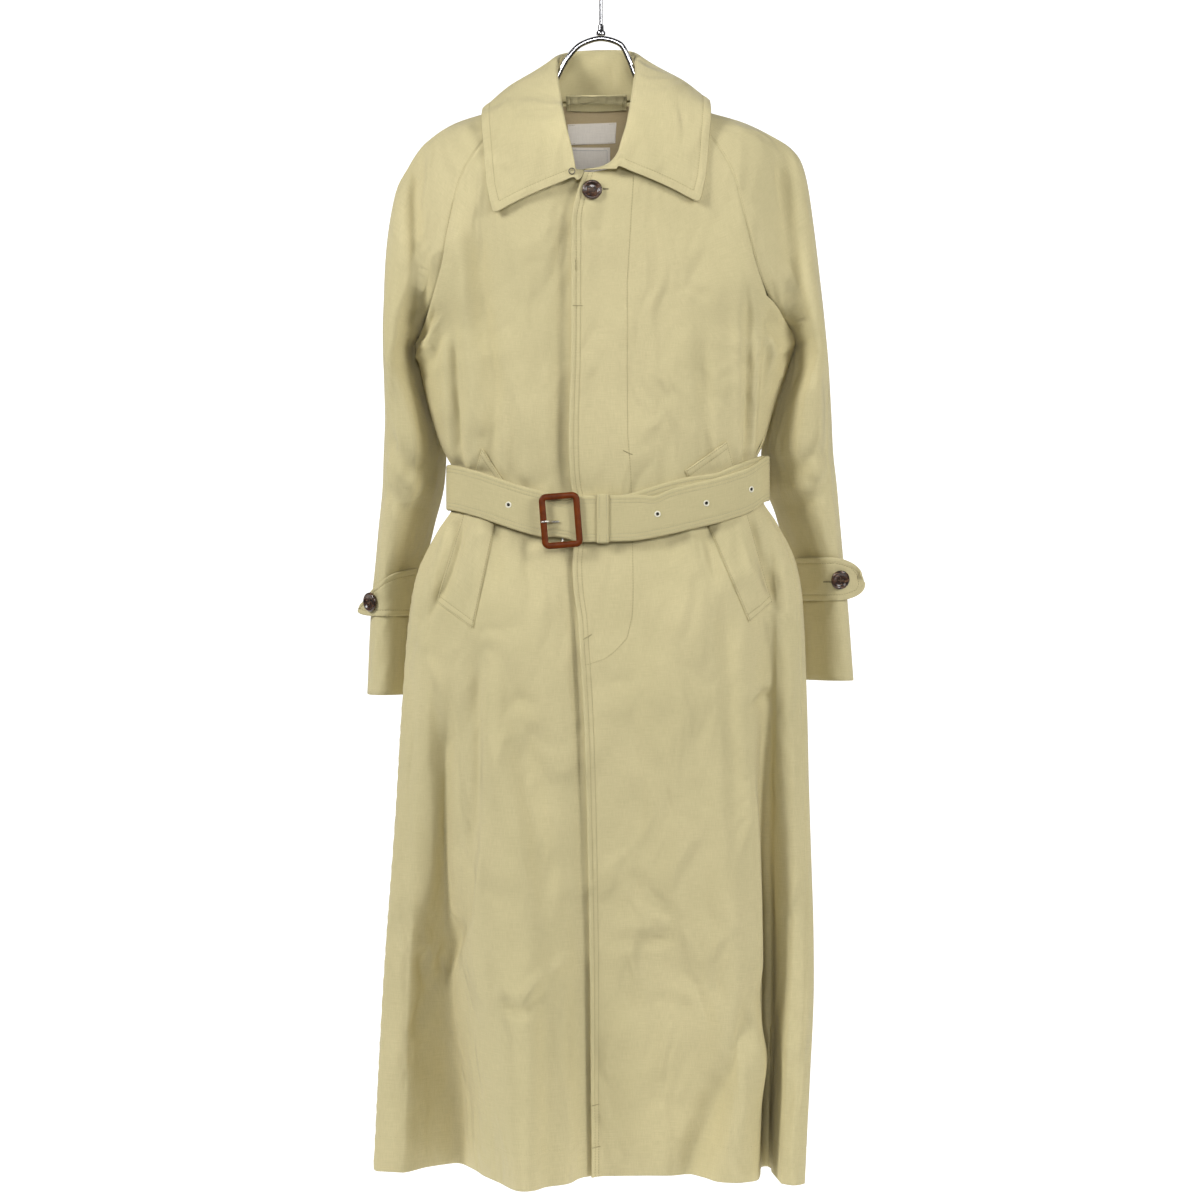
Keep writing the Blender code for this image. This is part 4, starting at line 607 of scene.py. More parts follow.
def front_upper(at, edge, seam_curve, armpit_row):
    """A front panel above the armpit, from its front edge to the raglan seam (rows, columns, 3)."""
    at = np.asarray(at)[:, None]
    span = armpit_row[-1, 0] - armpit_row[0, 0]
    share = ((armpit_row[:, 0] - armpit_row[0, 0]) / span)[None, :]
    x = edge[:, 0][:, None] + (seam_curve[:, 0] - edge[:, 0])[:, None] * share
    power = NECK_DROP_POWER + (1.4 - NECK_DROP_POWER) * at
    z = edge[:, 2][:, None] + (seam_curve[:, 2] - edge[:, 2])[:, None] * share ** power
    to_ring = smoothstep((at - 0.5) / 0.5)
    y = shoulder_depth(x, z, True) * (1 - to_ring) + armpit_row[:, 1][None, :] * to_ring
    y = y + (seam_curve[:, 1][:, None] - y[:, -1:]) * share ** 4
    return np.stack([x, y, z], axis=-1)


def back_upper(at, right_curve, left_curve, armpit_row):
    """The back above the armpit, from the right raglan seam to the left one."""
    at = np.asarray(at)[:, None]
    share = ((armpit_row[:, 0] - armpit_row[0, 0]) / (armpit_row[-1, 0] - armpit_row[0, 0]))[None, :]
    x = right_curve[:, 0][:, None] + (left_curve[:, 0] - right_curve[:, 0])[:, None] * share
    middle_z = rows_between(at, -184.0, ARMPIT_Z)
    edge_z = right_curve[:, 2][:, None] * (1 - share) + left_curve[:, 2][:, None] * share
    z = middle_z + (edge_z - middle_z) * np.abs(2 * share - 1) ** 1.6
    to_ring = smoothstep((at - 0.5) / 0.5)
    y = shoulder_depth(x, z, False) * (1 - to_ring) + armpit_row[:, 1][None, :] * to_ring
    y = y + (right_curve[:, 1][:, None] - y[:, :1]) * (1 - share) ** 6
    y = y + (left_curve[:, 1][:, None] - y[:, -1:]) * share ** 6
    return np.stack([x, y, z], axis=-1)


def bezier(start, lead, trail, end, steps):
    u = np.linspace(0, 1, steps + 1)[None, :, None]
    start, lead, trail, end = (point[:, None, :] for point in (start, lead, trail, end))
    return (start * (1 - u) ** 3 + 3 * lead * u * (1 - u) ** 2 + 3 * trail * u ** 2 * (1 - u) + end * u ** 3)


def sleeve_half(side, front, at, seam_curve, table, lower_rows, steps):
    """Half a sleeve, from the raglan or inner seam to the overarm seam (rows, columns, 3)."""
    at = np.asarray(at, float)
    top_z = read_table(OVERARM, at)[:, 0]
    sections = read_table(SHOULDER_SECTIONS, top_z)
    top = np.stack([sections[:, 0 if side < 0 else 1], np.zeros(len(at)), top_z], axis=-1)
    lower = read_table(table, np.asarray(lower_rows, float))
    in_x, in_y, out_x, out_y, ahead, behind = lower.T
    zs = np.asarray(lower_rows, float)
    inner = np.stack([in_x, in_y, zs], axis=-1)
    outer = np.stack([out_x, out_y, zs], axis=-1)
    reach = ahead if front else behind
    level = (reach - (in_y + out_y) / 8) / 0.75
    to_tube = smoothstep((at - 0.6) / 0.4)[:, None]
    top[:, 1] += outer[0, 1] * to_tube[:, 0]
    top[:, 0] += (outer[0, 0] - top[-1, 0]) * to_tube[:, 0]
    seam = seam_curve.copy()
    seam[:, 0] += (inner[0, 0] - seam[-1, 0]) * at ** 8
    seam[:, 1] += (inner[0, 1] - seam[-1, 1]) * at ** 8
    seam[:, 2] += (inner[0, 2] - seam[-1, 2]) * at ** 8
    across = top - seam
    high_lead = seam + across * np.array([0.42, 0.16, 0.42])
    high_trail = top + np.stack([0 * at, 0.6 * (seam[:, 1] - top[:, 1]), 0 * at], axis=-1)
    low_lead = np.stack([seam[:, 0] + side * SLEEVE_LEAN, 0 * at + level[0], seam[:, 2]], axis=-1)
    low_trail = np.stack([top[:, 0], 0 * at + level[0], top[:, 2]], axis=-1)
    lead = high_lead * (1 - to_tube) + low_lead * to_tube
    trail = high_trail * (1 - to_tube) + low_trail * to_tube
    upper = bezier(seam, lead, trail, top, steps)
    tube_lead = np.stack([in_x + side * SLEEVE_LEAN, level, zs], axis=-1)
    tube_trail = np.stack([out_x, level, zs], axis=-1)
    tube = bezier(inner, tube_lead, tube_trail, outer, steps)
    half = np.concatenate([upper[:-1], tube], axis=0)
    return dent(half, GROOVES["left" if side < 0 else "right"], GROOVE_WIDTH, GROOVE_DEPTH) if front else half


def dent(grid, route, width, depth):
    """Presses a soft trough into the front of a grid along a route of (x, z) points."""
    grid = grid.copy()
    nearest = np.full(grid.shape[:2], 1e9)
    flat = grid[..., (0, 2)]
    for start, end in zip(route[:-1], route[1:]):
        start, end = np.array(start, float), np.array(end, float)
        span = end - start
        along = np.clip(((flat - start) @ span) / (span @ span), 0, 1)
        nearest = np.minimum(nearest, np.linalg.norm(flat - start - along[..., None] * span, axis=-1))
    fade = smoothstep(-grid[..., 1] / 30)
    grid[..., 1] += depth * np.exp(-(nearest / width) ** 2 * 2) * fade
    return grid


# ---------------------------------------------------------------- cloth as fine shells
def arc_lengths(grid, axis):
    """Distance along the rows (axis 1) or columns (axis 0) of a grid from its first edge."""
    steps = np.linalg.norm(np.diff(grid, axis=axis), axis=-1)
    start = np.zeros_like(np.take(steps, [0], axis=axis))
    return np.concatenate([start, np.cumsum(steps, axis=axis)], axis=axis)


def from_end(grid, axis):
    """Distance along the rows or columns of a grid from its last edge."""
    return np.flip(arc_lengths(np.flip(grid, axis), axis), axis)


def from_edges(grid, axis):
    """Distance to the nearer of the two edges that an axis ends at."""
    return np.minimum(arc_lengths(grid, axis), from_end(grid, axis))


def refine_edge(grid, distances, axis, at_end):
    """Adds rows or columns at set distances from an edge, where stitches and rolls need them."""
    work = np.moveaxis(grid, axis, 1)
    if at_end:
        work = work[:, ::-1]
    length = arc_lengths(work, 1)
    keep = int(np.argmax(length.min(axis=0) > distances[-1] + 1.0))
    fresh = np.empty((work.shape[0], len(distances), work.shape[2]))
    for row in range(work.shape[0]):
        for part in range(work.shape[2]):
            fresh[row, :, part] = np.interp(distances, length[row], work[row, :, part])
    work = np.concatenate([fresh, work[:, keep:]], axis=1)
    if at_end:
        work = work[:, ::-1]
    return np.moveaxis(work, 1, axis)


def surface_normals(grid, like):
    """Unit normals of a grid, on the side that `like`, a vector a point or for all, is on."""
    normal = np.cross(np.gradient(grid, axis=0), np.gradient(grid, axis=1))
    normal /= np.maximum(np.linalg.norm(normal, axis=-1, keepdims=True), 1e-9)
    return normal * np.where((normal * like).sum() < 0, -1.0, 1.0)


def press(grid, normals, marks, facing):
    """Moves a grid along its normals by soft troughs and ridges drawn as routes of (x, z)."""
    total = np.zeros(grid.shape[:2])
    flat = grid[..., (0, 2)]
    for depth, width, route in marks:
        route = np.array(route, float)
        spans = np.linalg.norm(np.diff(route, axis=0), axis=1)
        starts = np.concatenate([[0], np.cumsum(spans)])
        nearest = np.full(grid.shape[:2], 1e9)
        where = np.zeros(grid.shape[:2])
        for index, (start, end) in enumerate(zip(route[:-1], route[1:])):
            along = np.clip(((flat - start) @ (end - start)) / spans[index] ** 2, 0, 1)
            away = np.linalg.norm(flat - start - along[..., None] * (end - start), axis=-1)
            where = np.where(away < nearest, (starts[index] + along * spans[index]) / starts[-1], where)
            nearest = np.minimum(nearest, away)
        ends = smoothstep(where / 0.22) * smoothstep((1 - where) / 0.22)
        total += FOLD_GAIN * depth * ends * np.exp(-2 * (nearest / width) ** 2)
    show = smoothstep(normals[..., 1] * facing * 4)
    return grid + normals * (total * show)[..., None]


def unevenness(grid, amount):
    """Small long waves that no hanging cloth is free of; fixed sums of sines."""
    x, y, z = grid[..., 0], grid[..., 1], grid[..., 2]
    waves = np.zeros(grid.shape[:2])
    for scale_x, scale_z, shift, share in WAVES:
        sway = 0.9 * np.sin(z / (scale_z * 0.37) + shift)
        waves += share * np.sin(x / scale_x + z / scale_z + shift + sway)
    return waves * amount * (0.6 + 0.4 * np.sin(y / 23.0 + z / 160.0))


def shell(node, grid, normals, thick, finish="cloth", closed=False):
    """A cloth shell in a node's place, with rounded edges and a UV map in metres of cloth."""
    rows, columns = grid.shape[:2]
    outer = (grid + normals * thick / 2).reshape(-1, 3)
    inner = (grid - normals * thick / 2).reshape(-1, 3)
    half = rows * columns
    index = np.arange(half).reshape(rows, columns)
    ahead = np.roll(index, -1, axis=1) if closed else index[:, 1:]
    here = index if closed else index[:, :-1]
    quads = np.stack([here[:-1], ahead[:-1], ahead[1:], here[1:]], axis=-1).reshape(-1, 4)
    if closed:
        loops = [np.append(index[0], index[0, 0]), np.append(index[-1], index[-1, 0])[::-1]]
    else:
        loops = [np.concatenate([index[0], index[1:, -1], index[-1, -2::-1], index[-2:0:-1, 0],
                                 index[0, :1]])]
    away = np.zeros_like(grid)
    away[0] += grid[0] - grid[1]
    away[-1] += grid[-1] - grid[-2]
    if not closed:
        away[:, 0] += grid[:, 0] - grid[:, 1]
        away[:, -1] += grid[:, -1] - grid[:, -2]
    away /= np.maximum(np.linalg.norm(away, axis=-1, keepdims=True), 1e-9)
    middles, rims = [], []
    base = 2 * half
    for loop in loops:
        middles.append(grid.reshape(-1, 3)[loop[:-1]] + away.reshape(-1, 3)[loop[:-1]] * thick * 0.4)
        middle = base + np.arange(len(loop) - 1)
        middle = np.append(middle, middle[0])
        base += len(loop) - 1
        rims.append(np.stack([loop[1:], loop[:-1], middle[:-1], middle[1:]], axis=-1))
        rims.append(np.stack([middle[1:], middle[:-1], loop[:-1] + half, loop[1:] + half], axis=-1))
    points = np.concatenate([outer, inner] + middles)
    faces = np.concatenate([quads, quads[:, ::-1] + half] + rims)
    across = np.concatenate([[0], np.cumsum(np.linalg.norm(np.diff(grid, axis=1), axis=-1).mean(axis=0))])
    down = np.concatenate([[0], np.cumsum(np.linalg.norm(np.diff(grid, axis=0), axis=-1).mean(axis=1))])
    flat = np.stack(np.broadcast_arrays(across[None, :], down[:, None]), axis=-1).reshape(-1, 2)
    flat = np.concatenate([flat, flat] + [flat[loop[:-1]] for loop in loops]) * MM
    piece = make_piece(node + "_cloth", points, faces, FINISHES[finish], flat)
    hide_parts(node)
    return piece


def make_piece(name, points, faces, finish, flat=None):
    """One object riding on the coat, from points in millimetres; its faces are turned outward."""
    points = np.asarray(points, float)
    faces = np.asarray(faces, int) if not isinstance(faces, list) else faces
    if not isinstance(faces, list):
        a, b, c, d = (points[faces[:, corner]] for corner in range(4))
        volume = (np.cross(a, b) * c).sum() + (np.cross(a, c) * d).sum()
        if volume < 0:
            faces = faces[:, ::-1]
        faces = faces.tolist()
    mesh = bpy.data.meshes.new(name)
    mesh.from_pydata((points * MM).tolist(), [], faces)
    if flat is not None:
        corners = np.empty(len(mesh.loops), int)
        mesh.loops.foreach_get("vertex_index", corners)
        mesh.uv_layers.new(name="cloth").data.foreach_set("uv", flat[corners].astype(np.float32).ravel())
    mesh.shade_smooth()
    mesh.materials.append(finish)
    piece = bpy.data.objects.new(name, mesh)
    bpy.context.scene.collection.objects.link(piece)
    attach(piece, "root")
    return piece


# ---------------------------------------------------------------- stitches
def resample(points, normals, pitch):
    """Points, directions and normals at equal steps along a line."""
    points, normals = np.asarray(points, float), np.asarray(normals, float)
    length = np.concatenate([[0], np.cumsum(np.linalg.norm(np.diff(points, axis=0), axis=1))])
    at = np.arange(pitch / 2, length[-1], pitch)
    place = np.stack([np.interp(at, length, points[:, axis]) for axis in range(3)], axis=-1)
    ahead = np.stack([np.interp(at + 0.4, length, points[:, axis]) for axis in range(3)], axis=-1)
    behind = np.stack([np.interp(at - 0.4, length, points[:, axis]) for axis in range(3)], axis=-1)
    out = np.stack([np.interp(at, length, normals[:, axis]) for axis in range(3)], axis=-1)
    way = ahead - behind
    way /= np.maximum(np.linalg.norm(way, axis=1, keepdims=True), 1e-9)
    out = out - way * (out * way).sum(axis=1, keepdims=True)
    out /= np.maximum(np.linalg.norm(out, axis=1, keepdims=True), 1e-9)
    return place, way, out


def stitches(name, routes, finish="thread", pitch=3.0, length=2.3, radius=0.26, lift=0.1):
    """One mesh of thread stitches: each a small pill lying along its route."""
    places, ways, outs = [], [], []
    for points, normals in routes:
        if len(points) < 2:
            continue
        place, way, out = resample(points, normals, pitch)
        places.append(place)
        ways.append(way)
        outs.append(out)
    places, ways, outs = (np.concatenate(parts) for parts in (places, ways, outs))
    sides = np.cross(ways, outs)
    stations = ((-0.5, 0.35, -0.5), (-0.28, 1.0, 0.1), (0.28, 1.0, 0.1), (0.5, 0.35, -0.5))
    corners = 6
    rings = []
    for along, size, rise in stations:
        for corner in range(corners):
            turn = 2 * math.pi * corner / corners
            rings.append(places + ways * length * along + outs * (lift + radius * rise)
                         + (outs * math.sin(turn) + sides * math.cos(turn)) * radius * size)
    points = np.stack(rings, axis=1)
    count = points.shape[1]
    faces = []
    for ring in range(len(stations) - 1):
        for corner in range(corners):
            ahead = (corner + 1) % corners
            faces.append((ring * corners + corner, ring * corners + ahead,
                          (ring + 1) * corners + ahead, (ring + 1) * corners + corner))
    faces = np.array(faces)
    faces = (faces[None] + (np.arange(len(points)) * count)[:, None, None]).reshape(-1, 4)
    return make_piece(name, points.reshape(-1, 3), faces, FINISHES[finish])


def sample(grid, row, column):
    """Values of a grid at fractional rows and columns."""
    row = np.clip(np.asarray(row, float), 0, grid.shape[0] - 1.0001)
    column = np.clip(np.asarray(column, float), 0, grid.shape[1] - 1.0001)
    i, j = row.astype(int), column.astype(int)
    u, v = (row - i)[..., None], (column - j)[..., None]
    return (grid[i, j] * (1 - u) * (1 - v) + grid[i + 1, j] * u * (1 - v)
            + grid[i, j + 1] * (1 - u) * v + grid[i + 1, j + 1] * u * v)


def beside_column(grid, normals, distance, at_end, rows=None, thick=WALL):
    """A line at a set distance from a grid's first or last column."""
    work, outs = (grid[:, ::-1], normals[:, ::-1]) if at_end else (grid, normals)
    length = arc_lengths(work, 1)
    points, faces = [], []
    for row in (range(len(work)) if rows is None else rows):
        column = np.interp(distance, length[row], np.arange(work.shape[1]))
        points.append(sample(work, row, column))
        faces.append(sample(outs, row, column))
    points, faces = np.array(points), np.array(faces)
    return points + faces * thick / 2, faces


def beside_row(grid, normals, distance, at_end, columns=None, thick=WALL):
    """A line at a set distance from a grid's first or last row."""
    swap = np.swapaxes(grid, 0, 1), np.swapaxes(normals, 0, 1)
    return beside_column(*swap, distance, at_end, columns, thick)


def lay(tree, route, from_y=-300.0):
    """A route of (x, z) laid on a surface seen from the front."""
    route = np.array(route, float)
    length = np.concatenate([[0], np.cumsum(np.linalg.norm(np.diff(route, axis=0), axis=1))])
    at = np.linspace(0, length[-1], max(int(length[-1] / 2), 2))
    points, outs = [], []
    for x, z in zip(np.interp(at, length, route[:, 0]), np.interp(at, length, route[:, 1])):
        hit = tree.ray_cast(Vector((x, from_y, z)), Vector(BACKWARD))
        if hit[0] is not None:
            out = np.array(hit[1]) * (-1 if hit[1][1] > 0 else 1)
            points.append(hit[0])
            outs.append(out)
    return np.array(points), np.array(outs)


def tree_of(*grids):
    """A tree to cast rays on, of one or more grids."""
    points, faces = [], []
    for grid in grids:
        rows, columns = grid.shape[:2]
        index = np.arange(rows * columns).reshape(rows, columns) + len(points)
        quads = np.stack([index[:-1, :-1], index[:-1, 1:], index[1:, 1:], index[1:, :-1]], axis=-1)
        points.extend(grid.reshape(-1, 3).tolist())
        faces.extend(quads.reshape(-1, 4).tolist())
    return BVHTree.FromPolygons(points, faces)


# ---------------------------------------------------------------- the coat's panels
def collar_lines(at):
    """Roll line and outer edge of the collar at stations from the right front (-1) to the left (1)."""
    at = np.asarray(at, float)
    table = read_table(COLLAR, 1 - np.abs(at))
    side = np.where(at < 0, 1.0, -1.0)
    near = 1 - smoothstep((1 - np.abs(at)) / COLLAR_FLAT)
    lines = []
    for first, drop in zip((0, 3), COLLAR_LEFT_DROP):
        x = COAT_X + side * table[:, first]
        z = table[:, first + 2] + TILT * (x - COAT_X) - drop * near * (side < 0)
        lines.append(np.stack([x, table[:, first + 1], z], axis=-1))
    return lines


def collar_grid(seam):
    """Stand from the neckline up to the roll line, then the leaf down to its edge."""
    middle = int(np.argmax(seam[:, 1]))
    length = np.concatenate([[0], np.cumsum(np.linalg.norm(np.diff(seam, axis=0), axis=1))])
    at = np.where(length < length[middle], length / length[middle] - 1,
                  (length - length[middle]) / (length[-1] - length[middle]))
    roll, edge = collar_lines(at)
    fall = edge - roll
    out = fall * (1, 1, 0)
    out /= np.maximum(np.linalg.norm(out, axis=1, keepdims=True), 1e-6)
    rows = [seam, roll - out * COLLAR_FOLD + (0, 0, -COLLAR_FOLD), roll]
    lift = smoothstep((1 - np.abs(at)) / COLLAR_FLAT)[:, None] * (0, 0, 1)
    for share in COLLAR_LEAF_STEPS:
        bulge = COLLAR_BULGE * math.sin(math.pi * share)
        swell = out * (COLLAR_FOLD * (1 - share) + bulge) + lift * bulge
        rows.append(roll + swell + fall * share - (0, 0, 1))
    return np.stack(rows)


def coat_grids(rings):
    """The seven panels as plain grids, from the neck down; the left front runs on under the right one."""
    steps = STEPS_PER_LINE
    at = np.linspace(0, 1, UPPER_ROWS + 1)
    right_seam, left_seam, total = RIGHT_SEAM * steps, LEFT_SEAM * steps, LINES * steps
    underarm_right, underarm_left = rings[0, right_seam], rings[0, left_seam]
    curves = {
        "right_front": raglan_line(1, at, True, underarm_right),
        "right_back": raglan_line(1, at, False, underarm_right),
        "left_front": raglan_line(-1, at, True, underarm_left),
        "left_back": raglan_line(-1, at, False, underarm_left),
    }
    edge_z = rows_between(at, NECK_FRONT_Z, ARMPIT_Z)
    edge_x = read_table(((0.0, -17), (0.08, -22), (0.3, -30), (1.0, rings[0, 0, 0])), at)[:, 0]
    edge = np.stack([edge_x, shoulder_depth(edge_x, edge_z, True), edge_z], axis=-1)
    edge[:, 1] += (rings[0, 0, 1] - edge[-1, 1]) * at ** 2
    right_columns = list(range(0, right_seam + 1))
    back_columns = list(range(right_seam, left_seam + 1))
    left_columns = [column % total for column in range(total, left_seam - 1, -1)]
    right_top = front_upper(at, edge, curves["right_front"], rings[0, right_columns])
    left_top = front_upper(at, edge, curves["left_front"], rings[0, left_columns])
    back_top = back_upper(at, curves["right_back"], curves["left_back"], rings[0, back_columns])
    front_right = np.concatenate([right_top[:-1], rings[:, right_columns]])
    front_left = np.concatenate([left_top[:-1], rings[:, left_columns]])
    ahead = FORWARD
    under = WALL + LAP_GAP + LAP_SINK
    lap = front_right - surface_normals(front_right, ahead) * under
    sunk = 1 - smoothstep(arc_lengths(front_left, 1) / LAP_BLEND)
    front_left = front_left - surface_normals(front_left, ahead) * (under * sunk)[..., None]
    grids = {
        "front_right": front_right,
        "front_left": np.concatenate([lap[:, steps::-1], front_left[:, 1:]], axis=1),
        "back": np.concatenate([back_top[:-1], rings[:, back_columns]]),
    }
    for side, word, table in ((-1, "left", SLEEVE_LEFT), (1, "right", SLEEVE_RIGHT)):
        levels = np.linspace(table[0][0], table[-1][0], SLEEVE_ROWS)
        for half in ("front", "back"):
            grids["sleeve_%s_%s" % (word, half)] = sleeve_half(
                side, half == "front", at, curves[word + "_" + half], table, levels, SLEEVE_STEPS)
    return grids


def neckline(grids):
    """The top edges of the panels in order, from the right front's edge round to the left's."""
    line = np.concatenate([
        grids["front_right"][0, :-1],
        grids["sleeve_right_front"][0, :-1],
        grids["sleeve_right_back"][0, ::-1][:-1],
        grids["back"][0, :-1],
        grids["sleeve_left_back"][0, :-1],
        grids["sleeve_left_front"][0, ::-1][:-1],
        grids["front_left"][0, STEPS_PER_LINE:][::-1],
    ])
    length = np.concatenate([[0], np.cumsum(np.linalg.norm(np.diff(line, axis=0), axis=1))])
    at = np.linspace(0, length[-1], int(length[-1] / 3.0))
    even = np.stack([np.interp(at, length, line[:, axis]) for axis in range(3)], axis=-1)
    for _ in range(6):
        even[1:-1] = (even[:-2] + 2 * even[1:-1] + even[2:]) / 4
    return even


def smooth_rows(grid, steps):
    """More rows on smooth curves through a grid's rows."""
    at = arc_lengths(grid, 0)
    share = (at / at[-1:]).mean(axis=1)
    parts = [np.linspace(a, b, steps + 1)[:-1] for a, b in zip(share[:-1], share[1:])]
    fine = np.concatenate(parts + [[1.0]])
    rows = [(s, *grid[i].ravel()) for i, s in enumerate(share)]
    return read_table(rows, fine).reshape(len(fine), *grid.shape[1:])


def round_corner(grid, radius, column_end):
    """Rounds the corner of a grid at its last row and first or last column."""
    work = grid[:, ::-1].copy() if column_end else grid.copy()
    flipped = work[::-1]
    across, down = arc_lengths(flipped, 1), arc_lengths(flipped, 0)
    result = flipped.copy()
    for i in range(flipped.shape[0]):
        if down[i, 0] > radius:
            break
        for j in range(flipped.shape[1]):
            if across[i, j] > radius:
                break
            u, v = 1 - across[i, j] / radius, 1 - down[i, j] / radius
            size = max(u, v) / max(math.hypot(u, v), 1e-6)
            row = np.interp(radius * (1 - v * size), down[:, j], np.arange(len(down)))
            column = np.interp(radius * (1 - u * size), across[i], np.arange(across.shape[1]))
            result[i, j] = sample(flipped, row, column)
    result = result[::-1]
    return result[:, ::-1] if column_end else result


def fine_grids():
    """The panels' middle surfaces at fine steps, their folds pressed in and their edges refined."""
    grids = coat_grids(body_rings(BODY_ROWS, STEPS_PER_LINE))
    seam = neckline(grids) + (0, 0, COLLAR_SEAM_GAP)
    for name, side in (("sleeve_left_front", -1), ("sleeve_left_back", -1), ("sleeve_right_front", 1),
                       ("sleeve_right_back", 1)):
        grid = grids[name]
        near = np.exp(-((grid[..., 2] - UNDERARM_Z) / 17.0) ** 2 - (arc_lengths(grid, 1) / 26.0) ** 2)
        grid[..., 0] -= side * UNDERARM_CLOSE[0] * near
        grid[..., 1] += UNDERARM_CLOSE[1] * near
        if side < 0:
            most, level, reach = SHOULDER_DRAWN_IN
            beyond = smoothstep((-grid[..., 0] - 150) / 70)
            grid[..., 0] += most * bell(grid[..., 2] - level, reach) * beyond
        grids[name] = ease_rows(grid)
    plain = {}
    for name, grid in grids.items():
        facing = FORWARD if "front" in name else BACKWARD
        normals = surface_normals(grid, facing)
        pressed = press(grid, normals, FOLDS[name], facing[1])
        if name == "front_left":
            below = press(grid, normals, FOLDS["front_right"], facing[1])
            past = arc_lengths(grid, 1) - arc_lengths(grid, 1)[:, STEPS_PER_LINE:STEPS_PER_LINE + 1]
            pressed = pressed + (below - grid) * (1 - smoothstep(past / LAP_BLEND))[..., None]
        grid = pressed
        grid = grid + normals * (unevenness(grid, UNEVEN) * edge_fade(grid))[..., None]
        plain[name] = (grid, surface_normals(grid, facing))
        grid = refine_edge(grid, EDGE_STEPS, 1, False)
        grid = refine_edge(grid, EDGE_STEPS, 1, True)
        if not name.startswith("sleeve"):
            grid = refine_edge(grid, HEM_STEPS, 0, True)
        grids[name] = grid
    return grids, plain, seam


def ease_rows(grid):
    """Rounds off the change from the raglan rows to the sleeve's tube, clear of the seam."""
    eased = grid.copy()
    for _ in range(SETTLING):
        eased[1:-1] = (eased[:-2] + 2 * eased[1:-1] + eased[2:]) / 4
    share = bell(grid[..., 2] - ARMPIT_Z, 48.0) * smoothstep(arc_lengths(grid, 1) / 26.0)
    return grid + (eased - grid) * share[..., None]


def edge_fade(grid):
    """Less unevenness near sewn edges and the neck, so that neighbours keep meeting."""
    sides = from_edges(grid, 1)
    return 0.25 + 0.75 * smoothstep(np.minimum(sides, arc_lengths(grid, 0)) / 22.0)


def make_panels(grids):
    """Shells of the seven panels; gives their objects, final grids and normals."""
    pieces, final, outs = {}, {}, {}
    for name, grid in grids.items():
        facing = FORWARD if "front" in name else BACKWARD
        normals = surface_normals(grid, facing)
        first, last = arc_lengths(grid, 1), from_end(grid, 1)
        low = from_end(grid, 0)
        shape = -SEAM_ROLL * bell(last, SEAM_ROLL_WIDTH)
        if name not in ("front_right", "front_left"):
            shape -= SEAM_ROLL * bell(first, SEAM_ROLL_WIDTH)
        else:
            for row_at in FRONT_EDGE_ROWS:
                shape -= STITCH_DIP * bell(first - row_at, 0.9)
            if name == "front_right":
                shape += EDGE_LIFT * bell(first, EDGE_LIFT_WIDTH)
            between = bell(first - 5.0, 4.0)
            shape += PUCKER * between * np.sin(grid[..., 2] / 1.45 + np.sin(grid[..., 2] / 37.0) * 2)
        if not name.startswith("sleeve"):
            shape -= STITCH_DIP * 0.6 * bell(low - HEM_DEPTH, 1.6)
            skirt = smoothstep((BELT_BOTTOM_Z - grid[..., 2]) / 90.0)
            gathers = np.sin(grid[..., 2] / 3.1 + 1.7 * np.sin(grid[..., 2] / 29.0))
            shape += SEAM_PUCKER * skirt * bell(last - 4.0, 3.6) * gathers
        grid = grid + normals * shape[..., None]
        grid[:, -1] += (grid[:, -2] - grid[:, -1]) * min(1.0, SEAM_HALF / EDGE_STEPS[1])
        if name not in ("front_right", "front_left"):
            grid[:, 0] += (grid[:, 1] - grid[:, 0]) * min(1.0, SEAM_HALF / EDGE_STEPS[1])
        normals = surface_normals(grid, facing)
        pieces[name] = shell(name, grid, normals, WALL)
        final[name], outs[name] = grid, normals
    return pieces, final, outs


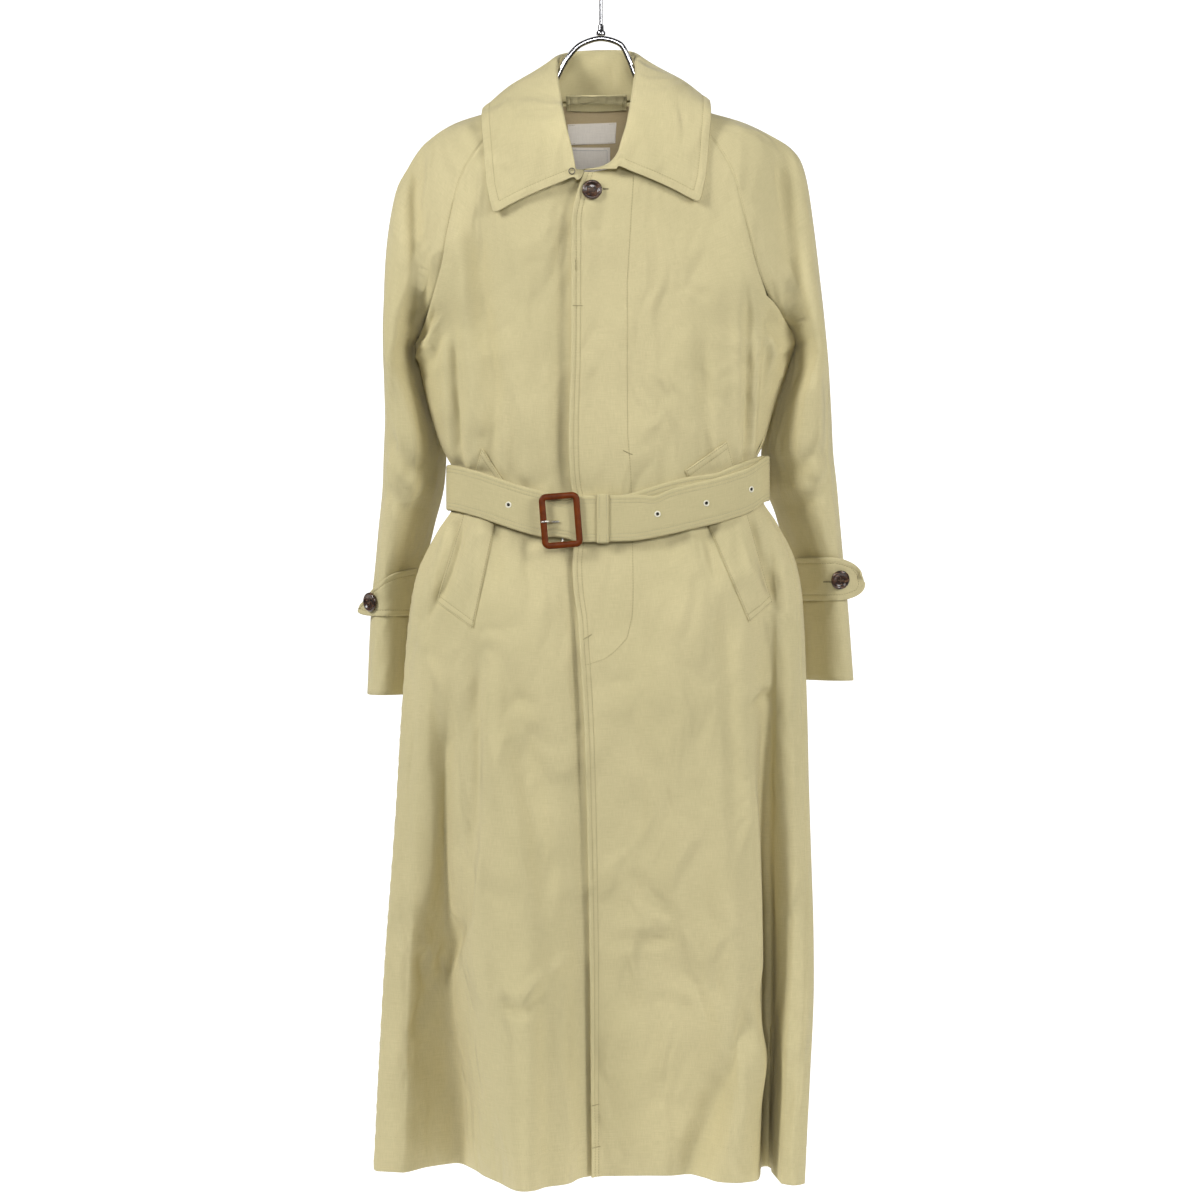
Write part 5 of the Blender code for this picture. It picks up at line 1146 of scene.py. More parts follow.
def make_collar(seam):
    """Stand and leaf as one shell, with the leaf's topstitching and the stand's tucks."""
    grid = smooth_rows(collar_grid(seam), 7)
    grid = refine_edge(grid, COLLAR_EDGE_STEPS, 0, True)
    grid = refine_edge(grid, COLLAR_EDGE_STEPS, 1, False)
    grid = refine_edge(grid, COLLAR_EDGE_STEPS, 1, True)
    grid = round_corner(round_corner(grid, COLLAR_ROUND, False), COLLAR_ROUND, True)
    like = np.zeros_like(grid)
    like[-1] = (grid[-1] - (COAT_X, 0, 0)) * (1, 1, 0)
    normals = surface_normals(grid, like)
    low = from_end(grid, 0)
    sides = from_edges(grid, 1)
    edge = np.minimum(low, np.where(low < 105, sides, 1e3))
    shape = 0.45 * bell(edge - 4.5, 3.0) - STITCH_DIP * bell(edge - COLLAR_STITCH, 1.0)
    grid = grid + normals * (shape + unevenness(grid, UNEVEN * 0.5))[..., None]
    normals = surface_normals(grid, like)
    piece = shell("collar", grid, normals, COLLAR_WALL)
    top = int(np.argmax(grid[:, grid.shape[1] // 2, 2]))
    leaf = range(top + 3, len(grid))
    rows_left, outs_left = beside_column(grid, normals, COLLAR_STITCH, False, leaf, COLLAR_WALL)
    rows_right, outs_right = beside_column(grid, normals, COLLAR_STITCH, True, leaf, COLLAR_WALL)
    line, line_out = beside_row(grid, normals, COLLAR_STITCH, True, None, COLLAR_WALL)
    near_start = np.linalg.norm(rows_left[:, None] - line[None], axis=-1)
    near_end = np.linalg.norm(rows_right[:, None] - line[None], axis=-1)
    a, i = np.unravel_index(near_start.argmin(), near_start.shape)
    b, j = np.unravel_index(near_end.argmin(), near_end.shape)
    routes = [(rows_left[:a + 1], outs_left[:a + 1]), (line[i:j + 1], line_out[i:j + 1]),
              (rows_right[:b + 1], outs_right[:b + 1])]
    inner = tree_of(grid - normals * COLLAR_WALL / 2)
    points, face = lay(inner, ((-28, -167), (0, -168), (24, -166)), from_y=0.0)
    routes.append((points, face))
    for x, z in STAND_TUCKS:
        routes.append(lay(inner, ((x, z), (x + 1, z + 13)), from_y=0.0))
    return piece, grid, stitches("collar_stitching", routes)


def patch_grid(tree, corners, steps, lift):
    """A four-cornered patch laid on a surface from the front; lift is (above it, start of the ray)."""
    top_out, top_in, low_in, low_out = (np.array(corner, float) for corner in corners)
    rows = []
    for down in np.linspace(0, 1, steps[0] + 1):
        start, end = top_out + (low_out - top_out) * down, top_in + (low_in - top_in) * down
        line = []
        for across in np.linspace(0, 1, steps[1] + 1):
            x, z = start + (end - start) * across
            hit = tree.ray_cast(Vector((x, lift[1], z)), Vector(BACKWARD))
            line.append(np.array(hit[0]) if hit[0] is not None else np.array((x, 0.0, z)))
        rows.append(line)
    return np.array(rows) - (0, lift[0], 0)


def make_welt(word, tree, corners):
    """A pocket's slanting welt, on the fronts' faces, topstitched at its ends and along its sides."""
    grid = patch_grid(tree, corners, (60, 22), (WELT_LIFT, -300.0))
    for axis in (0, 1):
        for at_end in (False, True):
            grid = refine_edge(grid, WELT_EDGE_STEPS, axis, at_end)
    like = FORWARD
    normals = surface_normals(grid, like)
    for _ in range(3):
        around = normals[:-2, 1:-1] + normals[2:, 1:-1] + normals[1:-1, :-2] + normals[1:-1, 2:]
        normals[1:-1, 1:-1] = around / 4
    ends = from_edges(grid, 0)
    sides = from_edges(grid, 1)
    shape = 0.5 * bell(ends - 4.0, 2.6) - 0.35 * bell(ends - 7.2, 0.9)
    shape -= 0.8 * bell(sides, 1.6)
    grid = grid + normals * shape[..., None]
    normals = surface_normals(grid, like)
    piece = shell("pocket_welt_" + word, grid, normals, WELT_WALL)
    routes = [beside_row(grid, normals, distance, at_end, None, WELT_WALL)
              for distance in WELT_STITCHES for at_end in (False, True)]
    routes += [beside_column(grid, normals, 1.3, at_end, None, WELT_WALL) for at_end in (False, True)]
    thread = stitches("pocket_welt_%s_stitching" % word, routes, pitch=2.8)


# ---------------------------------------------------------------- finishes
RIB_SCALE = 0.318  # with the ribs' distance in metres, the wave texture's scale
YARN_SCALES = ((1500, 90, 1), (70, 1300, 1))  # warp and weft: how often the yarns' shade changes a metre


def new_material(name):
    """A material, its node tree and its shader."""
    made = bpy.data.materials.new(name)
    made.use_nodes = True
    return made, made.node_tree, made.node_tree.nodes["Principled BSDF"]


def add(tree, kind, **values):
    """A node; values are constants of its sockets, or its own settings."""
    node = tree.nodes.new(kind)
    for key, value in values.items():
        if key in node.inputs:
            node.inputs[key].default_value = value
        else:
            setattr(node, key, value)
    return node


def join(tree, source, target):
    tree.links.new(source, target)


def texture(tree, kind, place, **values):
    """A texture or mapping node, read at a place on the surface."""
    node = add(tree, "ShaderNode" + kind, **values)
    join(tree, place, node.inputs["Vector"])
    return node


def bump(tree, height, shader, strength, distance):
    node = add(tree, "ShaderNodeBump", Strength=strength, Distance=distance)
    join(tree, height, node.inputs["Height"])
    join(tree, node.outputs[0], shader.inputs["Normal"])
    return node


def darker(colour, share):
    return tuple(value * share for value in colour)


def settings(shader, **values):
    """Sets constants on a shader's own sockets."""
    for key, value in values.items():
        shader.inputs[key.replace("_", " ")].default_value = value


def mixed(tree, factor, low, high):
    """A colour mix node; low and high are colours or sockets."""
    node = add(tree, "ShaderNodeMix", data_type="RGBA")
    join(tree, factor, node.inputs[0])
    for socket, value in ((6, low), (7, high)):
        if isinstance(value, tuple):
            node.inputs[socket].default_value = (*value, 1.0)
        else:
            join(tree, value, node.inputs[socket])
    return node.outputs[2]


def ranged(tree, source, low, high, to_low=0.0, to_high=1.0):
    """A value mapped from one range to another."""
    node = add(tree, "ShaderNodeMapRange")
    for number, value in ((1, low), (2, high), (3, to_low), (4, to_high)):
        node.inputs[number].default_value = value
    join(tree, source, node.inputs[0])
    return node.outputs[0]


def woven(name, light, deep, pitch=0.00055, twill=63.0, strength=0.35, mottle=0.5, rough=0.82, crumple=0.0):
    """Close cloth: a twill of fine ribs, yarns a little uneven in shade, and soft large mottling."""
    made, tree, shader = new_material(name)
    spot = add(tree, "ShaderNodeTexCoord")
    turn = texture(tree, "Mapping", spot.outputs["UV"], Rotation=(0, 0, math.radians(twill)))
    ribs = texture(tree, "TexWave", turn.outputs[0], wave_type="BANDS", bands_direction="X",
                   Scale=RIB_SCALE / pitch, Distortion=0.6, Detail=1.0)
    ribs.inputs["Detail Scale"].default_value = 2.0
    yarn = add(tree, "ShaderNodeMath", operation="ADD")
    for number, scale in enumerate(YARN_SCALES):
        stretch = texture(tree, "Mapping", spot.outputs["UV"], Scale=scale)
        threads = texture(tree, "TexNoise", stretch.outputs[0], Scale=1.0, Detail=2.0)
        join(tree, threads.outputs["Fac"], yarn.inputs[number])
    cloud = texture(tree, "TexNoise", spot.outputs["Object"], Scale=7.0, Detail=3.0, Roughness=0.55)
    shade = mixed(tree, ranged(tree, cloud.outputs["Fac"], 0.35, 0.65, 0.0, mottle), light, deep)
    shade = mixed(tree, ranged(tree, yarn.outputs[0], 0.75, 1.25, 0.0, 0.5), shade, darker(deep, 0.86))
    shade = mixed(tree, ranged(tree, ribs.outputs["Fac"], 0.0, 1.0, 0.22, 0.0), shade, darker(deep, 0.7))
    join(tree, shade, shader.inputs["Base Color"])
    height = add(tree, "ShaderNodeMath", operation="MULTIPLY_ADD")
    join(tree, yarn.outputs[0], height.inputs[0])
    height.inputs[1].default_value = 0.6
    join(tree, ribs.outputs["Fac"], height.inputs[2])
    weave = bump(tree, height.outputs[0], shader, strength, 0.00012)
    if crumple:
        creased = texture(tree, "Mapping", spot.outputs["Object"], Scale=(1.0, 1.0, 0.55))
        waves = texture(tree, "TexNoise", creased.outputs[0], Scale=18.0, Detail=2.0, Roughness=0.45,
                        Distortion=0.5)
        bump(tree, waves.outputs["Fac"], weave, 1.0, crumple)
    settings(shader, Roughness=rough, Specular_IOR_Level=0.25, Sheen_Weight=0.12, Sheen_Roughness=0.5,
             Sheen_Tint=(1.0, 0.97, 0.85, 1.0))
    return made


def polished(name, base, rough, metallic, wear=0.08, scale=350.0):
    """Metal with faint uneven polish."""
    made, tree, shader = new_material(name)
    spot = add(tree, "ShaderNodeTexCoord")
    noise = texture(tree, "TexNoise", spot.outputs["Object"], Scale=scale, Detail=4.0)
    join(tree, ranged(tree, noise.outputs["Fac"], 0.3, 0.7, rough, rough + wear), shader.inputs["Roughness"])
    join(tree, mixed(tree, ranged(tree, noise.outputs["Fac"], 0.3, 0.7, 0.0, 0.35), base, darker(base, 0.8)),
         shader.inputs["Base Color"])
    settings(shader, Metallic=metallic)
    return made


def leather(name, light, deep):
    """Smooth tan leather, darker in its pores and in soft random patches."""
    made, tree, shader = new_material(name)
    spot = add(tree, "ShaderNodeTexCoord")
    grain = texture(tree, "TexVoronoi", spot.outputs["Object"], Scale=1400.0)
    cloud = texture(tree, "TexNoise", spot.outputs["Object"], Scale=120.0, Detail=5.0)
    shade = mixed(tree, ranged(tree, cloud.outputs["Fac"], 0.35, 0.7, 0.0, 1.0), light, deep)
    pores = ranged(tree, grain.outputs["Distance"], 0.0, 0.35, 0.3, 0.0)
    shade = mixed(tree, pores, shade, darker(deep, 0.5))
    join(tree, shade, shader.inputs["Base Color"])
    bump(tree, grain.outputs["Distance"], shader, 0.25, 0.0001)
    join(tree, ranged(tree, cloud.outputs["Fac"], 0.3, 0.7, 0.30, 0.46), shader.inputs["Roughness"])
    settings(shader, Specular_IOR_Level=0.16)
    return made


def horn(name):
    """Dark horn, streaked brown and black, polished."""
    made, tree, shader = new_material(name)
    spot = add(tree, "ShaderNodeTexCoord")
    turn = texture(tree, "Mapping", spot.outputs["Object"], Rotation=(0.3, 0.5, 0.6), Scale=(130, 130, 420))
    streak = texture(tree, "TexNoise", turn.outputs[0], Scale=1.0, Detail=4.0, Distortion=1.6)
    black, brown, amber = (0.012, 0.008, 0.007), (0.06, 0.026, 0.014), (0.23, 0.13, 0.075)
    shade = mixed(tree, ranged(tree, streak.outputs["Fac"], 0.40, 0.52), black, brown)
    shade = mixed(tree, ranged(tree, streak.outputs["Fac"], 0.56, 0.68), shade, amber)
    join(tree, shade, shader.inputs["Base Color"])
    settings(shader, Roughness=0.28, Coat_Weight=0.4, Coat_Roughness=0.15)
    return made


FINISHES = {
    "cloth": woven("gabardine", (0.635, 0.555, 0.315), (0.55, 0.487, 0.265), mottle=0.6, crumple=0.0165),
    "belt": woven("belt_gabardine", (0.57, 0.50, 0.275), (0.505, 0.445, 0.24), twill=24.0),
    "belt_thread": woven("belt_thread", (0.46, 0.425, 0.265), (0.39, 0.36, 0.22), pitch=0.0004, strength=0.2,
                         mottle=0.3),
    "thread_dark": woven("button_thread", (0.16, 0.10, 0.06), (0.10, 0.06, 0.04), pitch=0.0004, strength=0.2),
    "eyelet": woven("eyelet_thread", (0.88, 0.85, 0.70), (0.78, 0.75, 0.60), pitch=0.0004, strength=0.3),
    "leather_seam": leather("leather_edge", (0.13, 0.035, 0.012), (0.08, 0.02, 0.008)),
    # Darker than the cloth: partly the thread's own tone, partly painted shade of the sunken stitch lines.
    "thread": woven("thread", (0.43, 0.37, 0.205), (0.36, 0.31, 0.165), pitch=0.0004, strength=0.2,
                    mottle=0.3),
    "lining": woven("lining", (0.54, 0.425, 0.24), (0.46, 0.36, 0.20), pitch=0.0003, strength=0.15,
                    rough=0.5),
    "label": woven("label_tape", (0.93, 0.87, 0.79), (0.86, 0.80, 0.72), pitch=0.0005, twill=0.0,
                   strength=0.3, mottle=0.3, rough=0.6),
    "border": woven("label_border", (0.42, 0.40, 0.40), (0.36, 0.34, 0.34), pitch=0.0005, twill=0.0),
    "leather": leather("tan_leather", (0.155, 0.030, 0.002), (0.085, 0.016, 0.001)),
    "horn": horn("dark_horn"),
    "chrome": polished("chrome", (0.47, 0.47, 0.50), 0.06, 1.0),
    "steel": polished("trim_steel", (0.62, 0.60, 0.55), 0.22, 1.0, 0.15, 900.0),
    "hook_steel": polished("hook_steel", (0.27, 0.27, 0.28), 0.16, 1.0, 0.1, 900.0),
    "dark_wire": polished("dark_wire", (0.16, 0.14, 0.11), 0.34, 1.0, 0.2, 900.0),
    # Near-black and matt: painted shade inside holes and slits.
    "hole": polished("hole_shade", (0.02, 0.017, 0.013), 0.8, 0.0),
}


# ---------------------------------------------------------------- belt, straps and trim
BELT_STITCHES = (3.6, 7.4)  # rows of topstitching, from the edge
BELT_SWEEP_STEPS = 13
KEEPER_WALL = 1.3
KEEPER_STATIONS = (0, 0.5, 1.2, 2.2, 3.4, 4.6, 6, 7.4, 8.6, 9.8, 10.8, 11.5, 12)  # across its width
KEEPER_STITCH_STATION = 3
KEEPER_STEPS = 96
BUCKLE_STEPS = 24
EYELET_STEPS = (72, 10)  # round the hole, round the thread
STRAP_COLUMNS = 44
STRAP_TIP_COLUMNS = 16
BUTTON_PROFILE = (
    # share of the radius, share of the thickness
    (0.84, 0.0), (0.95, 0.12), (1.0, 0.38), (0.99, 0.62), (0.95, 0.84), (0.88, 0.97), (0.80, 1.0),
    (0.73, 0.93), (0.67, 0.78), (0.60, 0.64), (0.45, 0.56), (0.2, 0.53),
)
BUTTON_HOLE_AT = 2.3
BUTTON_HOLE_RADIUS = 1.05
CUFF_BUTTONHOLE = ((246.5, -719), (257.5, -719))
NECK_BUTTONHOLE = ((3.0, -299), (9.0, -299))
COLLAR_OF_SWIVEL = (
    # radius, height
    (4.4, 0.0), (4.9, 0.3), (5.0, 0.8), (5.0, 3.2), (4.8, 3.9), (4.2, 4.6), (3.4, 5.4), (3.1, 6.2),
    (3.0, 10.8), (2.8, 11.4), (2.3, 11.6),
)


def belt_grid():
    """The belt's middle surface once round the waist, its front end lying over its start."""
    around = body_rings((BELT_TOP_Z, BELT_Z, BELT_BOTTOM_Z), STEPS_PER_LINE)
    along = (np.roll(around, -1, axis=1) - np.roll(around, 1, axis=1)) / 2
    flat = np.cross((around[2] - around[0]) / 2, along[1]) * (1, 1, 0)
    flat = np.broadcast_to(flat / np.linalg.norm(flat, axis=-1, keepdims=True), around.shape)
    widest = (around * flat).sum(axis=-1).argmax(axis=0)
    smooth = around[widest, np.arange(around.shape[1]), :2]
    for _ in range(6):
        smooth = (np.roll(smooth, 1, axis=0) + 2 * smooth + np.roll(smooth, -1, axis=0)) / 4
    total = around.shape[1]
    scale = STEPS_PER_LINE / 2
    columns = np.arange(int(BELT_TIP_COLUMN * scale), -total - 1, -1)
    turned = (BELT_TIP_COLUMN - columns / scale) / (BELT_TIP_COLUMN + 8.0)
    lift = BELT_STAND_OFF + BELT_LAYER_STEP * (1 - smoothstep(turned - 0.9))
    index = columns % total
    rows = []
    for share in np.linspace(0, 1, BELT_SWEEP_STEPS):
        level = around[0, :, 2] * (1 - share) + around[2, :, 2] * share
        rows.append(np.concatenate([smooth, level[:, None]], axis=1)[index])
    grid = np.array(rows) + flat[0][index][None] * lift[None, :, None]
    over = smoothstep((TONGUE_REACH - np.abs(columns / scale - TONGUE_COLUMN)) / TONGUE_REACH)
    grid[..., 2] -= TONGUE_DROP * over * (columns > 0)
    return grid, np.broadcast_to(flat[0][index], grid.shape).copy()


def make_belt():
    """The belt with its stitches; gives the grid before its sag, which buckle, keeper and eyelets go by."""
    grid, out = belt_grid()
    grid = refine_edge(grid, BELT_EDGE_STEPS, 0, False)
    grid = refine_edge(grid, BELT_EDGE_STEPS, 0, True)
    grid = refine_edge(grid, BELT_EDGE_STEPS, 1, False)
    out = surface_normals(grid, (0, 0, 0))
    out = out * np.sign((out * (grid - grid.mean(axis=(0, 1))) * (1, 1, 0)).sum())
    low = arc_lengths(grid, 0)
    edge = np.minimum(from_edges(grid, 0), arc_lengths(grid, 1))
    shape = -0.3 * bell(edge - BELT_STITCHES[0], 0.9) - 0.3 * bell(edge - BELT_STITCHES[1], 0.9)
    shape -= 0.5 * bell(edge, 0.9)
    shape += unevenness(grid * (1.0, 1.0, 0.3), 0.25)
    grid = grid + out * shape[..., None]
    level = grid.copy()
    x, across = grid[..., 0], low / low[-1:]
    ahead = smoothstep(-grid[..., 1] / 20.0)
    outer = ahead * (np.arange(grid.shape[1]) < 0.4 * grid.shape[1])
    inner = ahead * (np.arange(grid.shape[1]) > 0.6 * grid.shape[1])
    grid[..., 2] -= outer * TONGUE_DIP[0] * bell(x - TONGUE_DIP[1], TONGUE_DIP[2]) * (1 - across) ** 2
    pinched = outer * np.exp(-((x - BUCKLE_PINCH[2]) / BUCKLE_PINCH[3]) ** 4)
    grid[..., 2] += pinched * (BUCKLE_PINCH[1] * across ** 2 - BUCKLE_PINCH[0] * (1 - across) ** 2)
    shown = np.sin(math.pi * np.clip((x - REAR_PEEK[1]) / (REAR_PEEK[2] - REAR_PEEK[1]), 0, 1))
    grid[..., 2] += inner * REAR_PEEK[0] * shown * (1 - across) ** 2
    piece = shell("belt", grid, out, BELT_WALL, "belt")
    routes = []
    for distance in BELT_STITCHES:
        for at_end in (False, True):
            line, face = beside_row(grid, out, distance, at_end, None, BELT_WALL)
            far = np.linalg.norm(line - line[0], axis=1) > distance
            start = int(np.argmax(far))
            routes.append((line[start:], face[start:]))
        line, face = beside_column(grid, out, distance, False, None, BELT_WALL)
        inside = (low[:, 0] > distance) & (low[:, 0] < low[-1, 0] - distance)
        routes.append((line[inside], face[inside]))
    thread = stitches("belt_stitching", routes, "belt_thread", pitch=2.6, length=2.0, radius=0.24)
    return level


def belt_front(grid, x):
    """The front layer's outer surface at x: point of the middle line, facing, top and bottom heights."""
    line = grid[:, :int(26 * STEPS_PER_LINE / 2)]
    middle = line[line.shape[0] // 2]
    order = np.argsort(middle[:, 0])
    xs = middle[order, 0]
    y = np.interp(x, xs, middle[order, 1])
    slope = (np.interp(x + 3, xs, middle[order, 1]) - np.interp(x - 3, xs, middle[order, 1])) / 6
    top, low = np.interp(x, xs, line[0][order, 2]), np.interp(x, xs, line[-1][order, 2])
    normal = np.array((slope, -1.0, 0.0)) / math.hypot(slope, 1.0)
    return np.array((x, y, (top + low) / 2)), normal, top, low


def sweep(name, path, frames, profile, finish, closed=True):
    """A profile of (side, out) points swept along a path; frames are (side, out) vectors."""
    count = len(profile)
    points = []
    for place, (side, out) in zip(path, frames):
        for a, b in profile:
            points.append(np.asarray(place) + np.asarray(side) * a + np.asarray(out) * b)
    faces = []
    rings = len(path)
    for ring in range(rings if closed else rings - 1):
        for corner in range(count):
            here, there = ring * count, (ring + 1) % rings * count
            ahead = (corner + 1) % count
            faces.append((here + corner, here + ahead, there + ahead, there + corner))
    if not closed:
        faces.append(tuple(range(count))[::-1])
        faces.append(tuple(range((rings - 1) * count, rings * count)))
    return finish_faces(name, points, faces, finish)


def finish_faces(name, points, faces, finish, sharp=50):
    """A closed piece with its faces turned outward and its corners above `sharp` degrees kept."""
    piece = make_piece(name, points, faces, FINISHES[finish])
    edit = bmesh.new()
    edit.from_mesh(piece.data)
    bmesh.ops.recalc_face_normals(edit, faces=edit.faces[:])
    if edit.calc_volume(signed=True) < 0:
        bmesh.ops.reverse_faces(edit, faces=edit.faces[:])
    edit.to_mesh(piece.data)
    edit.free()
    piece.data.shade_smooth()
    piece.data.set_sharp_from_angle(angle=math.radians(sharp))
    return piece


def smooth_route(points, steps):
    """A smooth open curve through given points."""
    points = np.asarray(points, float)
    at = np.concatenate([[0], np.cumsum(np.linalg.norm(np.diff(points, axis=0), axis=1))])
    rows = [(a, *point) for a, point in zip(at, points)]
    return read_table(rows, np.linspace(0, at[-1], steps + 1))


def tube(name, route, radius, finish, slot, sides, closed=False):
    """A round wire or tube with rounded ends."""
    route = np.asarray(route, float)
    ways = np.roll(route, -1, axis=0) - np.roll(route, 1, axis=0) if closed else np.gradient(route, axis=0)
    ways /= np.linalg.norm(ways, axis=1, keepdims=True)
    side = np.cross(ways[0], (0.0, 1.0, 0.0))
    if np.linalg.norm(side) < 0.1:
        side = np.cross(ways[0], (0.0, 0.0, 1.0))
    places, sides_out, sizes = [], [], []
    for place, way in zip(route, ways):
        side = side - way * (side @ way)
        side /= np.linalg.norm(side)
        places.append(place)
        sides_out.append((side, np.cross(way, side)))
        sizes.append(1.0)
    if not closed:
        for end, sign in ((0, -1), (-1, 1)):
            for turn in (30, 60, 82):
                angle = math.radians(turn)
                spot = route[end] + ways[end] * sign * radius * math.sin(angle) * 0.5
                place = len(places) if sign > 0 else 0
                places.insert(place, spot)
                sides_out.insert(place, sides_out[end])
                sizes.insert(place, math.cos(angle))
    profile = [(math.cos(2 * math.pi * k / sides), math.sin(2 * math.pi * k / sides)) for k in range(sides)]
    frames = [(side * size * radius, out * size * radius) for (side, out), size in zip(sides_out, sizes)]
    return sweep(name, places, frames, profile, finish, closed)


def rounded_outline(width, height, radius):
    """A rectangle with round corners, as points from its right side round."""
    steps = 10
    points = []
    for sx, sz, start in ((1, 1, 0), (-1, 1, 90), (-1, -1, 180), (1, -1, 270)):
        for step in range(steps + 1):
            angle = math.radians(start + 90 * step / steps)
            points.append((sx * (width / 2 - radius) + radius * math.cos(angle),
                           sz * (height / 2 - radius) + radius * math.sin(angle)))
    return points


def make_buckle(grid):
    """Leather-covered frame, the wire bar behind it and its prong."""
    reach = BUCKLE_SIZE[0] / 2 + 2
    belt_y = min(belt_front(grid, BUCKLE_AT[0] + across)[0][1] for across in (-reach, 0, reach))
    buckle_y = belt_y - BELT_WALL / 2 - BUCKLE_THICK / 2 - 0.9
    lean = math.radians(BUCKLE_LEAN_DEG)
    right = np.array((math.cos(lean), 0, math.sin(lean)))
    up = np.array((-math.sin(lean), 0, math.cos(lean)))
    centre = np.array((BUCKLE_AT[0], buckle_y, BUCKLE_AT[1]))
    outline = rounded_outline(BUCKLE_SIZE[0] - BUCKLE_BAR, BUCKLE_SIZE[1] - BUCKLE_BAR, 4.5)
    path = [centre + right * x + up * z for x, z in outline]
    frames = []
    for step, (x, z) in enumerate(outline):
        before, after = outline[step - 1], outline[(step + 1) % len(outline)]
        way = np.array((after[0] - before[0], after[1] - before[1]))
        way /= max(np.linalg.norm(way), 1e-9)
        side = right * way[1] - up * way[0]
        frames.append((side, FORWARD))
    profile = []
    for step in range(BUCKLE_STEPS):
        turn = 2 * math.pi * step / BUCKLE_STEPS
        profile.append((BUCKLE_BAR / 2 * signed_power(math.cos(turn), 0.72),
                        BUCKLE_THICK / 2 * signed_power(math.sin(turn), 0.8)))
    profile = [(float(a), float(b)) for a, b in profile]
    piece = sweep("buckle_leather", path, frames, profile, "leather")
    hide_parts("buckle_frame")
    seam = [place + FORWARD * BUCKLE_THICK * 0.02 + side * BUCKLE_BAR * 0.497
            for place, (side, _) in zip(path, frames)]
    tube("buckle_edge_seam", seam, 0.16, "leather_seam", "leather", sides=8, closed=True)
    point, _, top, low = belt_front(grid, BUCKLE_AT[0])
    bar_y = point[1] + BELT_WALL / 2 + 1.6
    front_y = buckle_y + BUCKLE_THICK / 2 + 1.0
    high, deep = top - BUCKLE_AT[1] + 1.6, low - BUCKLE_AT[1] - 1.6
    route = []
    for y, z in ((front_y, high), (bar_y - 0.6, high + 0.2), (bar_y, high - 1.4), (bar_y, deep + 1.4),
                 (bar_y - 0.6, deep - 0.2), (front_y, deep)):
        route.append((BUCKLE_AT[0] - z * math.sin(lean), y, BUCKLE_AT[1] + z))
    bar = tube("buckle_bar_wire", smooth_route(route, 60), 0.95, "steel", "trim_metal", sides=14)
    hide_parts("buckle_bar")
    prong_x = BUCKLE_AT[0] - BUCKLE_SIZE[0] / 2
    belt_y = belt_front(grid, BUCKLE_AT[0] - 4)[0][1] - BELT_WALL / 2
    route = ((BUCKLE_AT[0] - 2, belt_y - 1.3, BUCKLE_AT[1] - 1),
             (BUCKLE_AT[0] - 9, belt_y - 2.2, BUCKLE_AT[1] - 1),
             (prong_x + BUCKLE_BAR, buckle_y - BUCKLE_THICK / 2 - 1.2, BUCKLE_AT[1] - 1),
             (prong_x + 1.2, buckle_y - BUCKLE_THICK / 2 - 1.2, BUCKLE_AT[1] - 1.5))
    prong = tube("buckle_prong_wire", smooth_route(route, 40), 1.1, "steel", "trim_metal", sides=16)
    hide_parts("buckle_prong")


def make_keeper(grid):
    """The loop that holds the belt's free end, a folded strip stitched along both sides."""
    point, _, top, low = belt_front(grid, KEEPER_AT_X)
    ahead, behind = point[1] - BELT_WALL / 2 - 1.6, point[1] + BELT_LAYER_STEP + BELT_WALL / 2 + 1.1
    middle_z, half = (top + low) / 2, (top - low) / 2 + 1.9
    middle_y, deep = (ahead + behind) / 2, (behind - ahead) / 2
    rows = []
    for step in range(KEEPER_STEPS):
        turn = 2 * math.pi * step / KEEPER_STEPS
        y = -deep * signed_power(math.cos(turn), 0.30)
        z = half * signed_power(math.sin(turn), 0.16)
        rows.append((float(y), float(z)))
    rows = np.array(rows)
    widths = np.array(KEEPER_STATIONS) - KEEPER_WIDTH / 2
    loop = np.empty((len(widths), len(rows), 3))
    loop[..., 0] = KEEPER_AT_X + widths[:, None]
    loop[..., 1] = middle_y + rows[None, :, 0]
    loop[..., 2] = middle_z + rows[None, :, 1]
    way = np.roll(rows, -1, axis=0) - np.roll(rows, 1, axis=0)
    way /= np.linalg.norm(way, axis=1, keepdims=True)
    out = np.stack([np.zeros(len(rows)), way[:, 1], -way[:, 0]], axis=-1)
    out *= np.sign((out[:, 1:] * rows).sum())
    outs = np.broadcast_to(out, loop.shape).copy()
    edge = np.minimum(widths + KEEPER_WIDTH / 2, KEEPER_WIDTH / 2 - widths)
    loop = loop + outs * (-0.3 * bell(edge - 2.6, 0.8) - 0.35 * bell(edge, 0.7))[:, None, None]
    piece = shell("belt_keeper", loop, outs, KEEPER_WALL, "belt", closed=True)
    routes = []
    for row in (KEEPER_STITCH_STATION, -1 - KEEPER_STITCH_STATION):
        routes.append((loop[row] + outs[row] * KEEPER_WALL / 2, outs[row]))
    thread = stitches("belt_keeper_stitching", routes, "belt_thread", pitch=2.6, length=2.0, radius=0.24)


